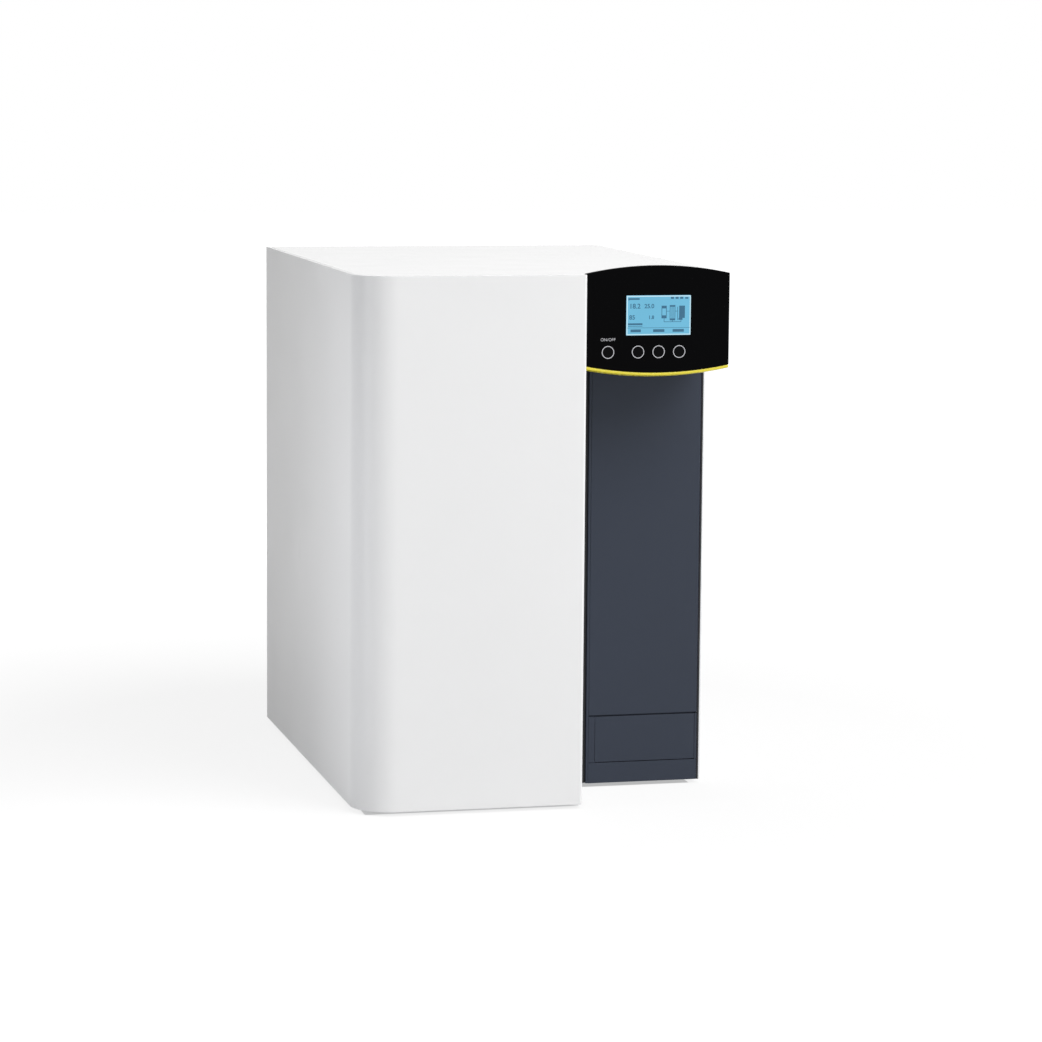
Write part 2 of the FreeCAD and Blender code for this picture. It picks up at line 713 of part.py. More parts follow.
def side_and_rear_panels():
    """The right side panel and the recessed rear panel with its cut-outs."""
    node("right_side_panel", block(
        (side_left, column_front, d.skirt),
        (right, back, lid_low - d.column_edge_gap),
    ))
    panel_left = hinge_x + d.hinge_end
    sheet_metal = block((panel_left, panel_front, floor), (side_left, panel_back, ceiling))
    through = d.plate + d.overrun * 2
    start = panel_front - d.overrun
    cutters = []
    for x in water_port_places():
        cutters.append(rod((x, start, d.port_height), "y", d.port_body + d.port_hole_gap, through))
    for x, z in wall_nut_places():
        cutters.append(rod((x, start, z), "y", d.nut_radius, through))
    for x, z in screw_places(panel_left):
        cutters.append(rod((x, start, z), "y", d.screw_radius + d.hinge_clearance, through))
    gap = d.port_hole_gap
    cut_outs = [
        (d.inlet_width, d.inlet_low, d.inlet_height),
        (d.data_width, d.data_low, d.data_height),
    ]
    for width, low, height in cut_outs:
        half = width / 2 + gap
        cutters.append(block(
            (inlet_x - half, start, low - gap),
            (inlet_x + half, panel_back + d.overrun, low + height + gap),
        ))
    node("rear_panel", cut(sheet_metal, *cutters))
    screws = []
    for x, z in screw_places(panel_left):
        head = rod((x, panel_back, z), "y", d.screw_head_radius, d.screw_head)
        shank = rod((x, panel_back, z), "-y", d.screw_radius, d.screw_length)
        screws.append(fuse(head, shank))
    node("housing_screws", group(*screws))
    nuts = []
    for x, z in wall_nut_places():
        profile = [
            (d.nut_bore, 0),
            (d.nut_radius, 0),
            (d.nut_radius, d.nut_length),
            (d.nut_lip_radius, d.nut_length),
            (d.nut_lip_radius, d.nut_length + d.nut_lip),
            (d.nut_bore, d.nut_length + d.nut_lip),
        ]
        nuts.append(turned("wall_nut", profile, (x, panel_back - d.nut_length, z), "y"))
    node("wall_nuts", group(*nuts))


def water_port_places():
    """Rear ports for feed, product and concentrate, left to right."""
    return [bay_x - d.port_pitch, bay_x, bay_x + d.port_pitch]


def wall_nut_places():
    """Four M6 rivet nuts for a wall bracket."""
    half = d.nut_spread_side / 2
    rise = d.nut_spread_up / 2
    return [(x, d.nut_middle + z) for x in (-half, half) for z in (-rise, rise)]


def screw_places(panel_left):
    """Screws down both edges of the rear panel."""
    across = (panel_left + d.screw_inset, side_left - d.screw_inset)
    low = floor + d.screw_inset
    high = ceiling - d.screw_inset
    return [(x, z) for x in across for z in (low, (low + high) / 2, high)]


def partition():
    """The wall between the bays; tubes pass through its round holes."""
    wall = block((partition_left, bay_front, floor), (door_right, panel_front, ceiling))
    holes = [
        (riser_y, d.pump_axis_height),
        (pump_front + d.pump_outlet, d.pressure_run),
        (vessel_y, high_run),
        (polishing_y, cross_run),
    ]
    start = partition_left - d.overrun
    through = d.partition + d.overrun * 2
    cutters = [rod((start, y, z), "x", d.tube_hole, through) for y, z in holes]
    node("partition_wall", cut(wall, *cutters))


def column():
    """The dark recessed column: frame, long cover, plinth, flap and the pocket behind it."""
    flap_width = flap_right - flap_left
    flap_top = d.flap_low + d.flap_height
    pocket_low = (flap_left + d.recess_margin, frame_front, d.flap_low + d.recess_margin)
    pocket_high = (flap_right - d.recess_margin, frame_back, flap_top - d.recess_margin)
    frame = block((door_right, frame_front, d.skirt), (side_left, frame_back, ceiling))
    opening = block(
        (pocket_low[0], frame_front - d.overrun, pocket_low[2]),
        (pocket_high[0], frame_back + d.overrun, pocket_high[2]),
    )
    node("column_frame", cut(frame, opening))
    wall = d.recess_wall
    tub = block(
        (pocket_low[0] - wall, frame_back, pocket_low[2] - wall),
        (pocket_high[0] + wall, tub_back + wall, pocket_high[2] + wall),
    )
    hollow = block(
        (pocket_low[0], frame_back - d.overrun, pocket_low[2]),
        (pocket_high[0], tub_back, pocket_high[2]),
    )
    node("recess_tub", cut(tub, hollow))
    middle_x = (pocket_low[0] + pocket_high[0]) / 2
    middle_z = (pocket_low[2] + pocket_high[2]) / 2
    profile = [
        (d.port_bore, 0),
        (d.port_flange, 0),
        (d.port_flange, d.port_collar),
        (d.port_body, d.port_collar),
        (d.port_body, d.port_collar + d.port_reach),
        (d.port_bore, d.port_collar + d.port_reach),
    ]
    node("sanitising_port", turned("service_port", profile, (middle_x, tub_back, middle_z), "-y"))
    cover_low = flap_top + d.groove + d.flap_gap
    cover_top = fascia_low + d.head_margin - d.column_edge_gap
    cover = block((column_left, column_front, cover_low), (cover_right, frame_front, cover_top))
    inset = d.column_wall
    inside = block(
        (column_left + inset, column_front + inset, cover_low + inset),
        (cover_right - inset, frame_front + d.overrun, cover_top - inset),
    )
    node("column_cover", cut(cover, inside))
    plinth_top = flap_top + d.flap_gap
    plinth = block((column_left, column_front, d.skirt), (cover_right, frame_front, plinth_top))
    window = block(
        (flap_left - d.flap_gap, column_front - d.overrun, d.flap_low - d.flap_under_gap),
        (flap_right + d.flap_gap, frame_front + d.overrun, flap_top + d.overrun),
    )
    axis_y = column_front + d.flap_thickness / 2
    axis_z = d.flap_low + d.flap_axis_height
    reach = d.trunnion_length + d.trunnion_end_gap
    seat = rod(
        (flap_left - reach, axis_y, axis_z), "x",
        d.trunnion_radius + d.hinge_clearance, flap_width + reach * 2,
    )
    node("column_plinth", cut(plinth, window, seat))
    flap_back = column_front + d.flap_thickness
    leaf = block((flap_left, column_front, d.flap_low), (flap_right, flap_back, flap_top))
    pins = rod(
        (flap_left - d.trunnion_length, axis_y, axis_z), "x",
        d.trunnion_radius, flap_width + d.trunnion_length * 2,
    )
    node("service_flap", fuse(leaf, pins))


def arc_radius(half_chord, sagitta):
    """The radius of an arc from half its chord and its rise."""
    return (half_chord * half_chord + sagitta * sagitta) / (sagitta * 2)


def display_head():
    """The black display head: fascia with bowed edges, shell, accent strip, display and board."""
    face = front + d.head_setback
    face_back = face + d.fascia_thickness
    middle = (head_left + right) / 2
    half = (right - head_left) / 2
    top_radius = arc_radius(half, d.fascia_rise)
    low_radius = arc_radius(half, d.fascia_sag)
    apex = d.body_top + d.fascia_rise
    bottom = fascia_low - d.fascia_sag
    slab = block((head_left, face, bottom - d.overrun), (right, face_back, apex + d.overrun))
    start = face - d.overrun
    through = d.fascia_thickness + d.overrun * 2
    upper = rod((middle, start, apex - top_radius), "y", top_radius, through)
    lower = rod((middle, start, bottom + low_radius), "y", low_radius, through)
    glass_left = head_left + d.lcd_left
    glass_right = glass_left + d.lcd_width
    glass_top = lcd_low + d.lcd_height
    window = block(
        (glass_left - d.lcd_gap, start, lcd_low - d.lcd_gap),
        (glass_right + d.lcd_gap, face_back + d.overrun, glass_top + d.lcd_gap),
    )
    holes = [
        rod((x, start, key_height), "y", d.key_radius + d.key_gap, through)
        for x in key_places()
    ]
    node("head_fascia", cut(common(slab, upper, lower), window, *holes))

    shell_low = fascia_low + d.head_margin
    shell_left = head_left + d.head_margin
    wall = d.head_wall
    box = block((shell_left, face_back, shell_low), (side_left, frame_front, lid_low))
    inside = block(
        (shell_left + wall, face_back - d.overrun, shell_low + wall),
        (side_left - wall, frame_front - wall, lid_low - wall),
    )
    node("head_shell", cut(box, inside))

    strip_face = face + d.strip_gap
    strip_back = strip_face + d.strip_depth
    bar = block((head_left, strip_face, bottom - d.strip_height - d.overrun), (right, strip_back, shell_low))
    bow = rod(
        (middle, start, bottom - d.strip_height + low_radius), "y",
        low_radius, d.strip_depth + d.overrun * 2,
    )
    over = rod(
        (middle, start, bottom - d.strip_gap + low_radius), "y",
        low_radius, d.overrun + d.fascia_thickness + d.strip_gap,
    )
    node("accent_strip", cut(common(bar, bow), over))

    glass = block((glass_left, face + d.strip_gap, lcd_low), (glass_right, face_back, glass_top))
    border = d.lcd_border
    case = block(
        (glass_left - border, face_back, lcd_low - border / 2),
        (glass_right + border, face_back + d.lcd_depth, glass_top + border),
    )
    node("lcd_module", fuse(glass, case))

    board_face = face_back + d.lcd_depth
    pieces = [block(
        (shell_left + wall, board_face, shell_low + wall),
        (side_left - wall, board_face + d.board_thickness, lid_low - wall),
    )]
    half_switch = d.switch_size / 2
    for x in key_places():
        pieces.append(block(
            (x - half_switch, board_face - d.switch_height, key_height - half_switch),
            (x + half_switch, board_face, key_height + half_switch),
        ))
    node("head_board", fuse(*pieces))

    stem_end = board_face - d.switch_height - d.key_travel - d.key_stop_gap
    key_face = face - d.key_proud
    flange_front = face_back + d.key_flange_gap
    key_names = ("key_standby", "key_left", "key_middle", "key_right")
    for name, x in zip(key_names, key_places()):
        flange_back = flange_front + d.key_flange_thickness
        profile = [
            (0, 0),
            (d.key_radius, 0),
            (d.key_radius, flange_front - key_face),
            (d.key_radius + d.key_flange, flange_front - key_face),
            (d.key_radius + d.key_flange, flange_back - key_face),
            (d.key_stem_radius, flange_back - key_face),
            (d.key_stem_radius, stem_end - key_face),
            (0, stem_end - key_face),
        ]
        node(name, turned(name + "_cap", profile, (x, key_face, key_height), "y"))


def key_places():
    """The four key centres: one apart, then three in a row."""
    first = head_left + d.key_first
    second = head_left + d.key_second
    return [first, second, second + d.key_pitch, second + d.key_pitch * 2]


socket_low = d.cartridge_low + d.cartridge_length + d.socket_overlap
socket_top = socket_low + d.socket_height
spigot_top = socket_top + d.spigot_length


def cartridge(name, y):
    """A bayonet cartridge that hangs from its socket."""
    radius = d.cartridge_radius
    waist = radius - d.cartridge_waist
    edge = d.cartridge_edge
    shoulder = d.cartridge_length
    collar = shoulder - d.cartridge_collar
    profile = [
        (0, 0),
        (radius - edge, 0),
        (radius, edge),
        (radius, d.cartridge_collar),
        (waist, d.cartridge_collar + d.cartridge_waist),
        (waist, collar - d.cartridge_waist),
        (radius, collar),
        (radius, shoulder - edge),
        (radius - edge, shoulder),
        (d.neck_radius, shoulder),
        (d.neck_radius, shoulder + d.neck_length),
        (0, shoulder + d.neck_length),
    ]
    body = turned(name + "_can", profile, (bay_x, y, d.cartridge_low))
    reach = d.neck_radius + d.lug_reach
    lug_low = socket_low + d.socket_lip + d.bayonet_gap
    half = d.lug_width / 2
    lugs = block(
        (bay_x - half, y - reach + d.bayonet_gap, lug_low),
        (bay_x + half, y + reach - d.bayonet_gap, lug_low + d.lug_thickness),
    )
    node(name, fuse(body, lugs))


def cartridge_socket(name, y):
    """A socket on the partition: a lip with two entry slots, and two spigots on top."""
    profile = [
        (d.neck_radius + d.neck_gap, 0),
        (d.socket_radius, 0),
        (d.socket_radius, d.socket_height),
        (0, d.socket_height),
        (0, d.socket_height - d.socket_roof),
        (d.socket_bore, d.socket_height - d.socket_roof),
        (d.socket_bore, d.socket_lip),
        (d.neck_radius + d.neck_gap, d.socket_lip),
    ]
    cup = turned(name + "_cup", profile, (bay_x, y, socket_low))
    half = d.arm_width / 2
    arm_low = socket_top - d.arm_height
    arm_start = bay_x + (d.socket_bore + d.socket_radius) / 2
    arm = block((arm_start, y - half, arm_low), (partition_left, y + half, socket_top))
    spigots = [
        rod((x, y, socket_top), "z", d.spigot_radius, d.spigot_length)
        for x in (bay_x, bay_x + d.port_offset)
    ]
    slot_half = d.lug_width / 2 + d.bayonet_gap
    slots = block(
        (bay_x - d.neck_radius - d.lug_reach, y - slot_half, socket_low - d.overrun),
        (bay_x + d.neck_radius + d.lug_reach, y + slot_half, socket_low + d.socket_lip),
    )
    node(name, cut(fuse(cup, arm, *spigots), slots))


def membrane_vessel():
    """The reverse osmosis vessel: tube, wound membrane, two caps with spigots."""
    y = vessel_y
    low = d.vessel_low
    high = vessel_top
    tube = rod((bay_x, y, low), "z", d.vessel_radius, d.vessel_length)
    bore = rod(
        (bay_x, y, low - d.overrun), "z",
        d.vessel_radius - d.vessel_wall, d.vessel_length + d.overrun * 2,
    )
    node("ro_vessel", cut(tube, bore))
    roll = rod(
        (bay_x, y, low + d.membrane_end_gap), "z",
        d.membrane_radius, d.vessel_length - d.membrane_end_gap * 2,
    )
    core = rod((bay_x, y, low), "z", d.core_radius, d.vessel_length)
    node("ro_membrane", fuse(roll, core))
    thick = d.cap_thickness
    profile = [
        (0, 0),
        (d.cap_radius, 0),
        (d.cap_radius, thick + d.cap_skirt),
        (d.vessel_radius + d.cap_gap, thick + d.cap_skirt),
        (d.vessel_radius + d.cap_gap, thick),
        (0, thick),
    ]
    low_cup = turned("low_cap_cup", profile, (bay_x, y, low - thick))
    high_cup = turned("high_cap_cup", profile, (bay_x, y, high + thick), "-z")
    side_height = low - thick + d.spigot_radius
    side = rod((bay_x, y, side_height), "x", d.spigot_radius, d.cap_radius + d.spigot_length)
    inner = rod((bay_x, y, low), "z", d.vessel_radius, d.vessel_length)
    low_cap = cut(fuse(low_cup, side), inner)
    tops = [
        rod((bay_x, y, high + thick), "z", d.spigot_radius, d.spigot_length),
        rod((bay_x + d.port_offset, y, high + thick), "z", d.spigot_radius, d.spigot_length),
    ]
    node("ro_caps", group(low_cap, fuse(high_cup, *tops)))


def vessel_clip(x, y, low, radius, arm_low, arm_high):
    """A ring clip with the arm that carries it."""
    inner = radius + d.clip_gap
    ring = rod((x, y, low), "z", inner + d.clip_wall, d.clip_height)
    hole = rod((x, y, low - d.overrun), "z", inner, d.clip_height + d.overrun * 2)
    return cut(fuse(ring, block(arm_low, arm_high)), hole)


def clips():
    """Two clips hold the membrane vessel to the partition, and two the lamp housing to the frame."""
    half = d.clip_arm / 2
    pieces = []
    y = vessel_y
    for low in (d.vessel_low + d.clip_low, vessel_top - d.clip_high):
        pieces.append(vessel_clip(
            bay_x, y, low, d.vessel_radius,
            (bay_x + d.vessel_radius, y - half, low),
            (partition_left, y + half, low + d.clip_height),
        ))
    x = lamp_x
    y = lamp_y
    housing_top = d.housing_low + d.housing_length
    for low in (d.housing_low + d.lamp_clip_low, housing_top - d.lamp_clip_high):
        pieces.append(vessel_clip(
            x, y, low, d.housing_radius,
            (x - half / 2, frame_back, low),
            (x + half / 2, y - d.housing_radius, low + d.clip_height),
        ))
    node("vessel_clips", group(*pieces))


def lamp_unit():
    """The ultraviolet unit: steel housing, lamp and two caps."""
    x = lamp_x
    y = lamp_y
    low = d.housing_low
    high = low + d.housing_length
    tube = rod((x, y, low), "z", d.housing_radius, d.housing_length)
    outlet_height = low + d.housing_outlet
    outlet = rod((x, y, outlet_height), "-x", d.spigot_radius, d.housing_radius + d.spigot_length)
    bore = rod(
        (x, y, low - d.overrun), "z",
        d.housing_radius - d.housing_wall, d.housing_length + d.overrun * 2,
    )
    node("uv_housing", cut(fuse(tube, outlet), bore))
    seat = d.lamp_seat
    node("uv_lamp", rod((x, y, low - seat), "z", d.lamp_radius, d.housing_length + seat * 2))
    thick = d.lamp_cap_thickness
    profile = [
        (0, 0),
        (d.lamp_cap_radius, 0),
        (d.lamp_cap_radius, thick + d.lamp_cap_skirt),
        (d.housing_radius + d.cap_gap, thick + d.lamp_cap_skirt),
        (d.housing_radius + d.cap_gap, thick),
        (d.lamp_radius + d.cap_gap, thick),
        (d.lamp_radius + d.cap_gap, thick - seat),
        (0, thick - seat),
    ]
    low_cap = turned("low_lamp_cap", profile, (x, y, low - thick))
    high_cup = turned("high_lamp_cap", profile, (x, y, high + thick), "-z")
    spigot = rod((x, y, high + thick), "z", d.spigot_radius, d.spigot_length)
    node("uv_caps", group(low_cap, fuse(high_cup, spigot)))


def pump():
    """The booster pump: head with an open bell, shaft, motor and cradle bracket."""
    x = pump_x
    z = d.pump_axis_height
    bell_bore = d.pump_head_radius - d.bell_wall
    fit = d.shaft_radius + d.hinge_clearance
    length = d.pump_head_length
    profile = [
        (0, 0),
        (d.pump_head_radius, 0),
        (d.pump_head_radius, length + d.bell_length),
        (bell_bore, length + d.bell_length),
        (bell_bore, length),
        (fit, length),
        (fit, length - d.shaft_seat - d.bayonet_gap),
        (0, length - d.shaft_seat - d.bayonet_gap),
    ]
    head = turned("pump_cast", profile, (x, pump_front, z), "y")
    inlet = rod((x, pump_front, z), "-y", d.spigot_radius, d.spigot_length)
    outlet_y = pump_front + d.pump_outlet
    outlet_low = z + d.shaft_seat
    outlet = rod(
        (x, outlet_y, outlet_low), "z",
        d.spigot_radius, d.pump_head_radius - d.shaft_seat + d.spigot_length,
    )
    node("pump_head", fuse(head, inlet, outlet))
    profile = [
        (fit, 0),
        (d.motor_radius, 0),
        (d.motor_radius, d.motor_length),
        (0, d.motor_length),
        (0, d.shaft_seat + d.bayonet_gap),
        (fit, d.shaft_seat + d.bayonet_gap),
    ]
    node("pump_motor", turned("motor_can", profile, (x, motor_front, z), "y"))
    shaft = rod(
        (x, pump_back - d.shaft_seat, z), "y",
        d.shaft_radius, d.bell_length + d.shaft_seat * 2,
    )
    coupling_y = pump_back + (d.bell_length - d.coupling_length) / 2
    coupling = rod((x, coupling_y, z), "y", d.coupling_radius, d.coupling_length)
    # Two flats on the coupling take a spanner
    flat = d.coupling_radius - d.bell_wall / 2
    spanner = block(
        (x - d.coupling_radius, coupling_y, z - flat),
        (x + d.coupling_radius, coupling_y + d.coupling_length, z + flat),
    )
    node("pump_shaft", fuse(shaft, common(coupling, spanner)))
    half = d.bracket_width / 2
    start = motor_front + d.bracket_inset
    end = motor_front + d.motor_length - d.bracket_inset
    foot = block((x - half, start, floor), (x + half, end, floor + d.bracket_plate))
    cradles = []
    for y in (start, end - d.cradle_thickness):
        cradles.append(block(
            (x - half, y, floor),
            (x + half, y + d.cradle_thickness, floor + d.cradle_height),
        ))
    saddle = rod((x, motor_front, z), "y", d.motor_radius + d.cap_gap, d.motor_length)
    node("pump_bracket", cut(fuse(foot, *cradles), saddle))


stub_end = panel_front - d.port_stub


def rear_fittings():
    """Three push-fit water ports, and the valves and regulator behind them."""
    ports = []
    total = d.port_stub + d.plate + d.port_reach
    collar = d.port_stub + d.plate
    for x in water_port_places():
        profile = [
            (d.port_bore, 0),
            (d.port_body, 0),
            (d.port_body, collar),
            (d.port_flange, collar),
            (d.port_flange, collar + d.port_collar),
            (d.port_body, collar + d.port_collar),
            (d.port_body, total),
            (d.port_bore, total),
        ]
        ports.append(turned("water_port", profile, (x, stub_end, d.port_height), "y"))
    node("water_ports", group(*ports))
    feed_x, product_x, waste_x = water_port_places()
    for name, x in (("inlet_valve", feed_x), ("flush_valve", waste_x)):
        half = d.valve_size / 2
        base = block(
            (x - half, stub_end - d.valve_depth, d.port_height - half),
            (x + half, stub_end, d.port_height + half),
        )
        coil = rod(
            (x, stub_end - d.valve_depth / 2, d.port_height - half), "-z",
            d.coil_radius, d.coil_height,
        )
        node(name, fuse(base, coil))
    profile = [
        (0, 0),
        (d.regulator_radius, 0),
        (d.regulator_radius, d.regulator_height),
        (d.spigot_radius, d.regulator_height),
        (d.spigot_radius, d.regulator_height + d.spigot_length),
        (0, d.regulator_height + d.spigot_length),
    ]
    spot = (feed_x, stub_end - d.regulator_offset, d.port_height + d.valve_size / 2)
    node("pressure_regulator", turned("regulator_can", profile, spot))


def tube(name, route):
    """A water tube along straight runs joined by tangent arcs."""
    points = [FreeCAD.Vector(*[size(part).number for part in spot]) for spot in route]
    edges = []
    start = points[0]
    for index in range(1, len(points) - 1):
        corner = points[index]
        back_way = points[index - 1] - corner
        on_way = points[index + 1] - corner
        shorter = min(back_way.Length, on_way.Length)
        turn = math.pi - back_way.getAngle(on_way)
        radius = BEND_SHARE * shorter / math.tan(turn / 2)
        radius = min(radius, d.tube_bend.number)
        trim = radius * math.tan(turn / 2)
        enter = corner + back_way.normalize() * trim
        leave = corner + on_way.normalize() * trim
        inward = (back_way + on_way).normalize()
        middle = corner + inward * (trim / math.sin(turn / 2) - radius) if turn else corner
        edges.append(Part.LineSegment(start, enter).toShape())
        edges.append(Part.Arc(enter, middle, leave).toShape())
        start = leave
    edges.append(Part.LineSegment(start, points[-1]).toShape())
    path = Part.Wire(edges)
    direction = points[1] - points[0]
    solids = []
    for radius in (d.tube_radius.number, d.tube_bore.number):
        ring = Part.Wire(Part.Circle(points[0], direction, radius).toShape())
        solids.append(path.makePipeShell([ring], True, True))
    wall = solids[0].cut(solids[1])
    section = math.pi * (d.tube_radius.number ** 2 - d.tube_bore.number ** 2)
    share = wall.Volume / (section * path.Length)
    print(name, "length", round(path.Length, 1), "volume share", round(share, 4))
    piece = doc.addObject("Part::Feature", name + "_run")
    piece.Shape = wall
    node(name, piece)


def tubes():
    """The water path inside the cabinet."""
    feed_x, product_x, waste_x = water_port_places()
    regulator_top = d.port_height + d.valve_size / 2 + d.regulator_height + d.spigot_length
    regulator_y = stub_end - d.regulator_offset
    feed_run = ceiling - d.feed_run
    suction_run = ceiling - d.suction_run
    second = bay_x + d.port_offset
    cap_top = vessel_top + d.cap_thickness + d.spigot_length
    tube("feed_tube", [
        (feed_x, regulator_y, regulator_top),
        (feed_x, regulator_y, feed_run),
        (bay_x, pretreatment_y, feed_run),
        (bay_x, pretreatment_y, spigot_top),
    ])
    tube("pump_tube", [
        (second, pretreatment_y, spigot_top),
        (second, pretreatment_y, suction_run),
        (riser_left, riser_y, suction_run),
        (riser_left, riser_y, d.pump_axis_height),
        (pump_x, riser_y, d.pump_axis_height),
        (pump_x, pump_front - d.spigot_length, d.pump_axis_height),
    ])
    outlet_y = pump_front + d.pump_outlet
    outlet_top = d.pump_axis_height + d.pump_head_radius + d.spigot_length
    spigot_height = d.vessel_low - d.cap_thickness + d.spigot_radius
    cap_end = bay_x + d.cap_radius + d.spigot_length
    tube("pressure_tube", [
        (pump_x, outlet_y, outlet_top),
        (pump_x, outlet_y, d.pressure_run),
        (riser_left, outlet_y, d.pressure_run),
        (riser_left, outlet_y, spigot_height),
        ((riser_left + cap_end) / 2, vessel_y, spigot_height),
        (cap_end, vessel_y, spigot_height),
    ])
    lamp_top = d.housing_low + d.housing_length + d.lamp_cap_thickness + d.spigot_length
    tube("permeate_tube", [
        (bay_x, vessel_y, cap_top),
        (bay_x, vessel_y, high_run),
        (lamp_x, vessel_y, high_run),
        (lamp_x, lamp_y, high_run),
        (lamp_x, lamp_y, lamp_top),
    ])
    outlet_height = d.housing_low + d.housing_outlet
    tube("polishing_tube", [
        (lamp_x - d.housing_radius - d.spigot_length, lamp_y, outlet_height),
        (riser_right, lamp_y, outlet_height),
        (riser_right, lamp_y, cross_run),
        (riser_right, polishing_y, cross_run),
        (second, polishing_y, cross_run),
        (second, polishing_y, spigot_top),
    ])
    tube("product_tube", [
        (bay_x, polishing_y, spigot_top),
        (bay_x, polishing_y, high_run),
        (bay_x, regulator_y, high_run),
        (bay_x, regulator_y, d.port_height),
        (bay_x, stub_end, d.port_height),
    ])


def sensors():
    """Two conductivity cells round tubes, and a leak sensor on the base plate."""
    reach = d.tube_radius + d.cell_wall
    cells = []
    rows = (
        (riser_left, riser_y, d.cell_low, partition_left, riser_left - reach),
        (riser_right, lamp_y, d.cell_second, door_right, riser_right + reach),
    )
    for x, y, low, wall_side, free_side in rows:
        near, far = (free_side, wall_side) if wall_side is partition_left else (wall_side, free_side)
        body = block((near, y - reach, low), (far, y + reach, low + d.cell_height))
        bore = rod(
            (x, y, low - d.overrun), "z",
            d.tube_radius + d.hinge_clearance, d.cell_height + d.overrun * 2,
        )
        cells.append(cut(body, bore))
    node("conductivity_cells", group(*cells))
    spot = (partition_left - d.leak_side, bay_front + d.leak_front, floor)
    node("leak_sensor", rod(spot, "z", d.leak_radius, d.leak_height))


def electrics():
    """Power supply, controller board, mains module with its rocker, and the data connector."""
    supply_left = door_right + d.supply_left
    supply_right = supply_left + d.supply_width
    supply_top = d.supply_low + d.supply_height
    case = block(
        (supply_left, panel_front - d.supply_depth, d.supply_low),
        (supply_right, panel_front, supply_top),
    )
    vents = []
    vent = d.supply_vent
    for index in range(1, VENT_DIVISIONS - 1, 2):
        low = d.supply_low + d.supply_height * index / VENT_DIVISIONS
        vents.append(block(
            (supply_left + vent * 2, panel_front - d.supply_depth - d.overrun, low),
            (supply_right - vent * 2, panel_front - d.supply_depth + vent / 2, low + vent),
        ))
    node("power_supply", cut(case, *vents))

    board_x = door_right + d.standoff
    board_end = panel_front - d.board_rear
    board_start = board_end - d.board_width
    board_top = d.board_low + d.board_height
    face = board_x + d.board_thickness
    pieces = [block((board_x, board_start, d.board_low), (face, board_end, board_top))]
    inset = d.standoff_inset
    for y in (board_start + inset, board_end - inset):
        for z in (d.board_low + inset, board_top - inset):
            pieces.append(rod((door_right, y, z), "x", d.standoff_radius, d.standoff))
    for column in range(1, CHIP_DIVISIONS_ALONG - 1, 2):
        for row in range(1, CHIP_DIVISIONS_UP - 1, 2):
            y = board_start + d.board_width * column / CHIP_DIVISIONS_ALONG
            z = d.board_low + d.board_height * row / CHIP_DIVISIONS_UP
            pieces.append(block((face, y, z), (face + d.chip_height, y + d.chip, z + d.chip)))
    node("controller_board", fuse(*pieces))

    x = inlet_x
    half = d.inlet_width / 2
    rim = d.inlet_rim
    module_face = panel_back + d.inlet_flange
    module_top = d.inlet_low + d.inlet_height
    body = block((x - half, panel_front - d.inlet_body, d.inlet_low), (x + half, panel_back, module_top))
    flange = block(
        (x - half - rim, panel_back, d.inlet_low - rim),
        (x + half + rim, module_face, module_top + rim),
    )
    cavity_low = d.inlet_low + d.socket_up
    cavity = block(
        (x - d.socket_width / 2, module_face - d.socket_deep, cavity_low),
        (x + d.socket_width / 2, module_face + d.overrun, cavity_low + d.socket_tall),
    )
    axis_height = d.inlet_low + d.rocker_up
    well_half = d.rocker_width / 2 + d.rocker_gap
    well_rise = d.rocker_tall / 2 + d.rocker_end_gap
    well = block(
        (x - well_half, module_face - d.rocker_depth - d.rocker_proud, axis_height - well_rise),
        (x + well_half, module_face + d.overrun, axis_height + well_rise),
    )
    contacts = []
    contact_half = d.contact_thickness / 2
    middle = cavity_low + d.socket_tall / 2
    contact_back = module_face - d.socket_deep
    for across, up in ((-1, -1), (0, 1), (1, -1)):
        centre = x + d.contact_pitch * across
        level = middle + d.contact_width * up
        contacts.append(block(
            (centre - contact_half, contact_back, level - d.contact_width / 2),
            (centre + contact_half, contact_back + d.contact_length, level + d.contact_width / 2),
        ))
    node("mains_inlet", fuse(cut(fuse(body, flange), cavity, well), *contacts))

    # The rocker turns on a level axis in the module's face, and rests tipped
    rocker = doc.addObject("Part::Box", "rocker")
    spans = (("Length", d.rocker_width), ("Width", d.rocker_depth), ("Height", d.rocker_tall))
    for path, span in spans:
        setattr(rocker, path, span.number)
        bind(rocker, path, span)
    own = (-(d.rocker_width / 2), d.rocker_proud - d.rocker_depth / 2, -(d.rocker_tall / 2))
    place(rocker, own)
    holder = group(rocker)
    axis_y = module_face - d.rocker_depth / 2
    spot = FreeCAD.Vector(x.number, axis_y.number, axis_height.number)
    tilt = FreeCAD.Rotation(FreeCAD.Vector(1, 0, 0), ROCKER_TILT_DEGREES)
    holder.Placement = FreeCAD.Placement(spot, tilt)
    for letter, part in zip("xyz", (x, axis_y, axis_height)):
        bind(holder, f"Placement.Base.{letter}", part)
    axle = rod(
        (x - well_half + d.rocker_gap / 2, axis_y, axis_height), "x",
        d.trunnion_radius, well_half * 2 - d.rocker_gap,
    )
    node("mains_rocker", fuse(holder, axle))

    shell_half = d.data_width / 2
    margin = d.data_margin
    shell = block(
        (x - shell_half, panel_front - d.data_depth, d.data_low),
        (x + shell_half, panel_back + d.data_shell, d.data_low + d.data_height),
    )
    plate = block(
        (x - shell_half - margin, panel_back, d.data_low - d.nut_lip),
        (x + shell_half + margin, panel_back + d.nut_lip, d.data_low + d.data_height + d.nut_lip),
    )
    node("data_port", fuse(shell, plate))


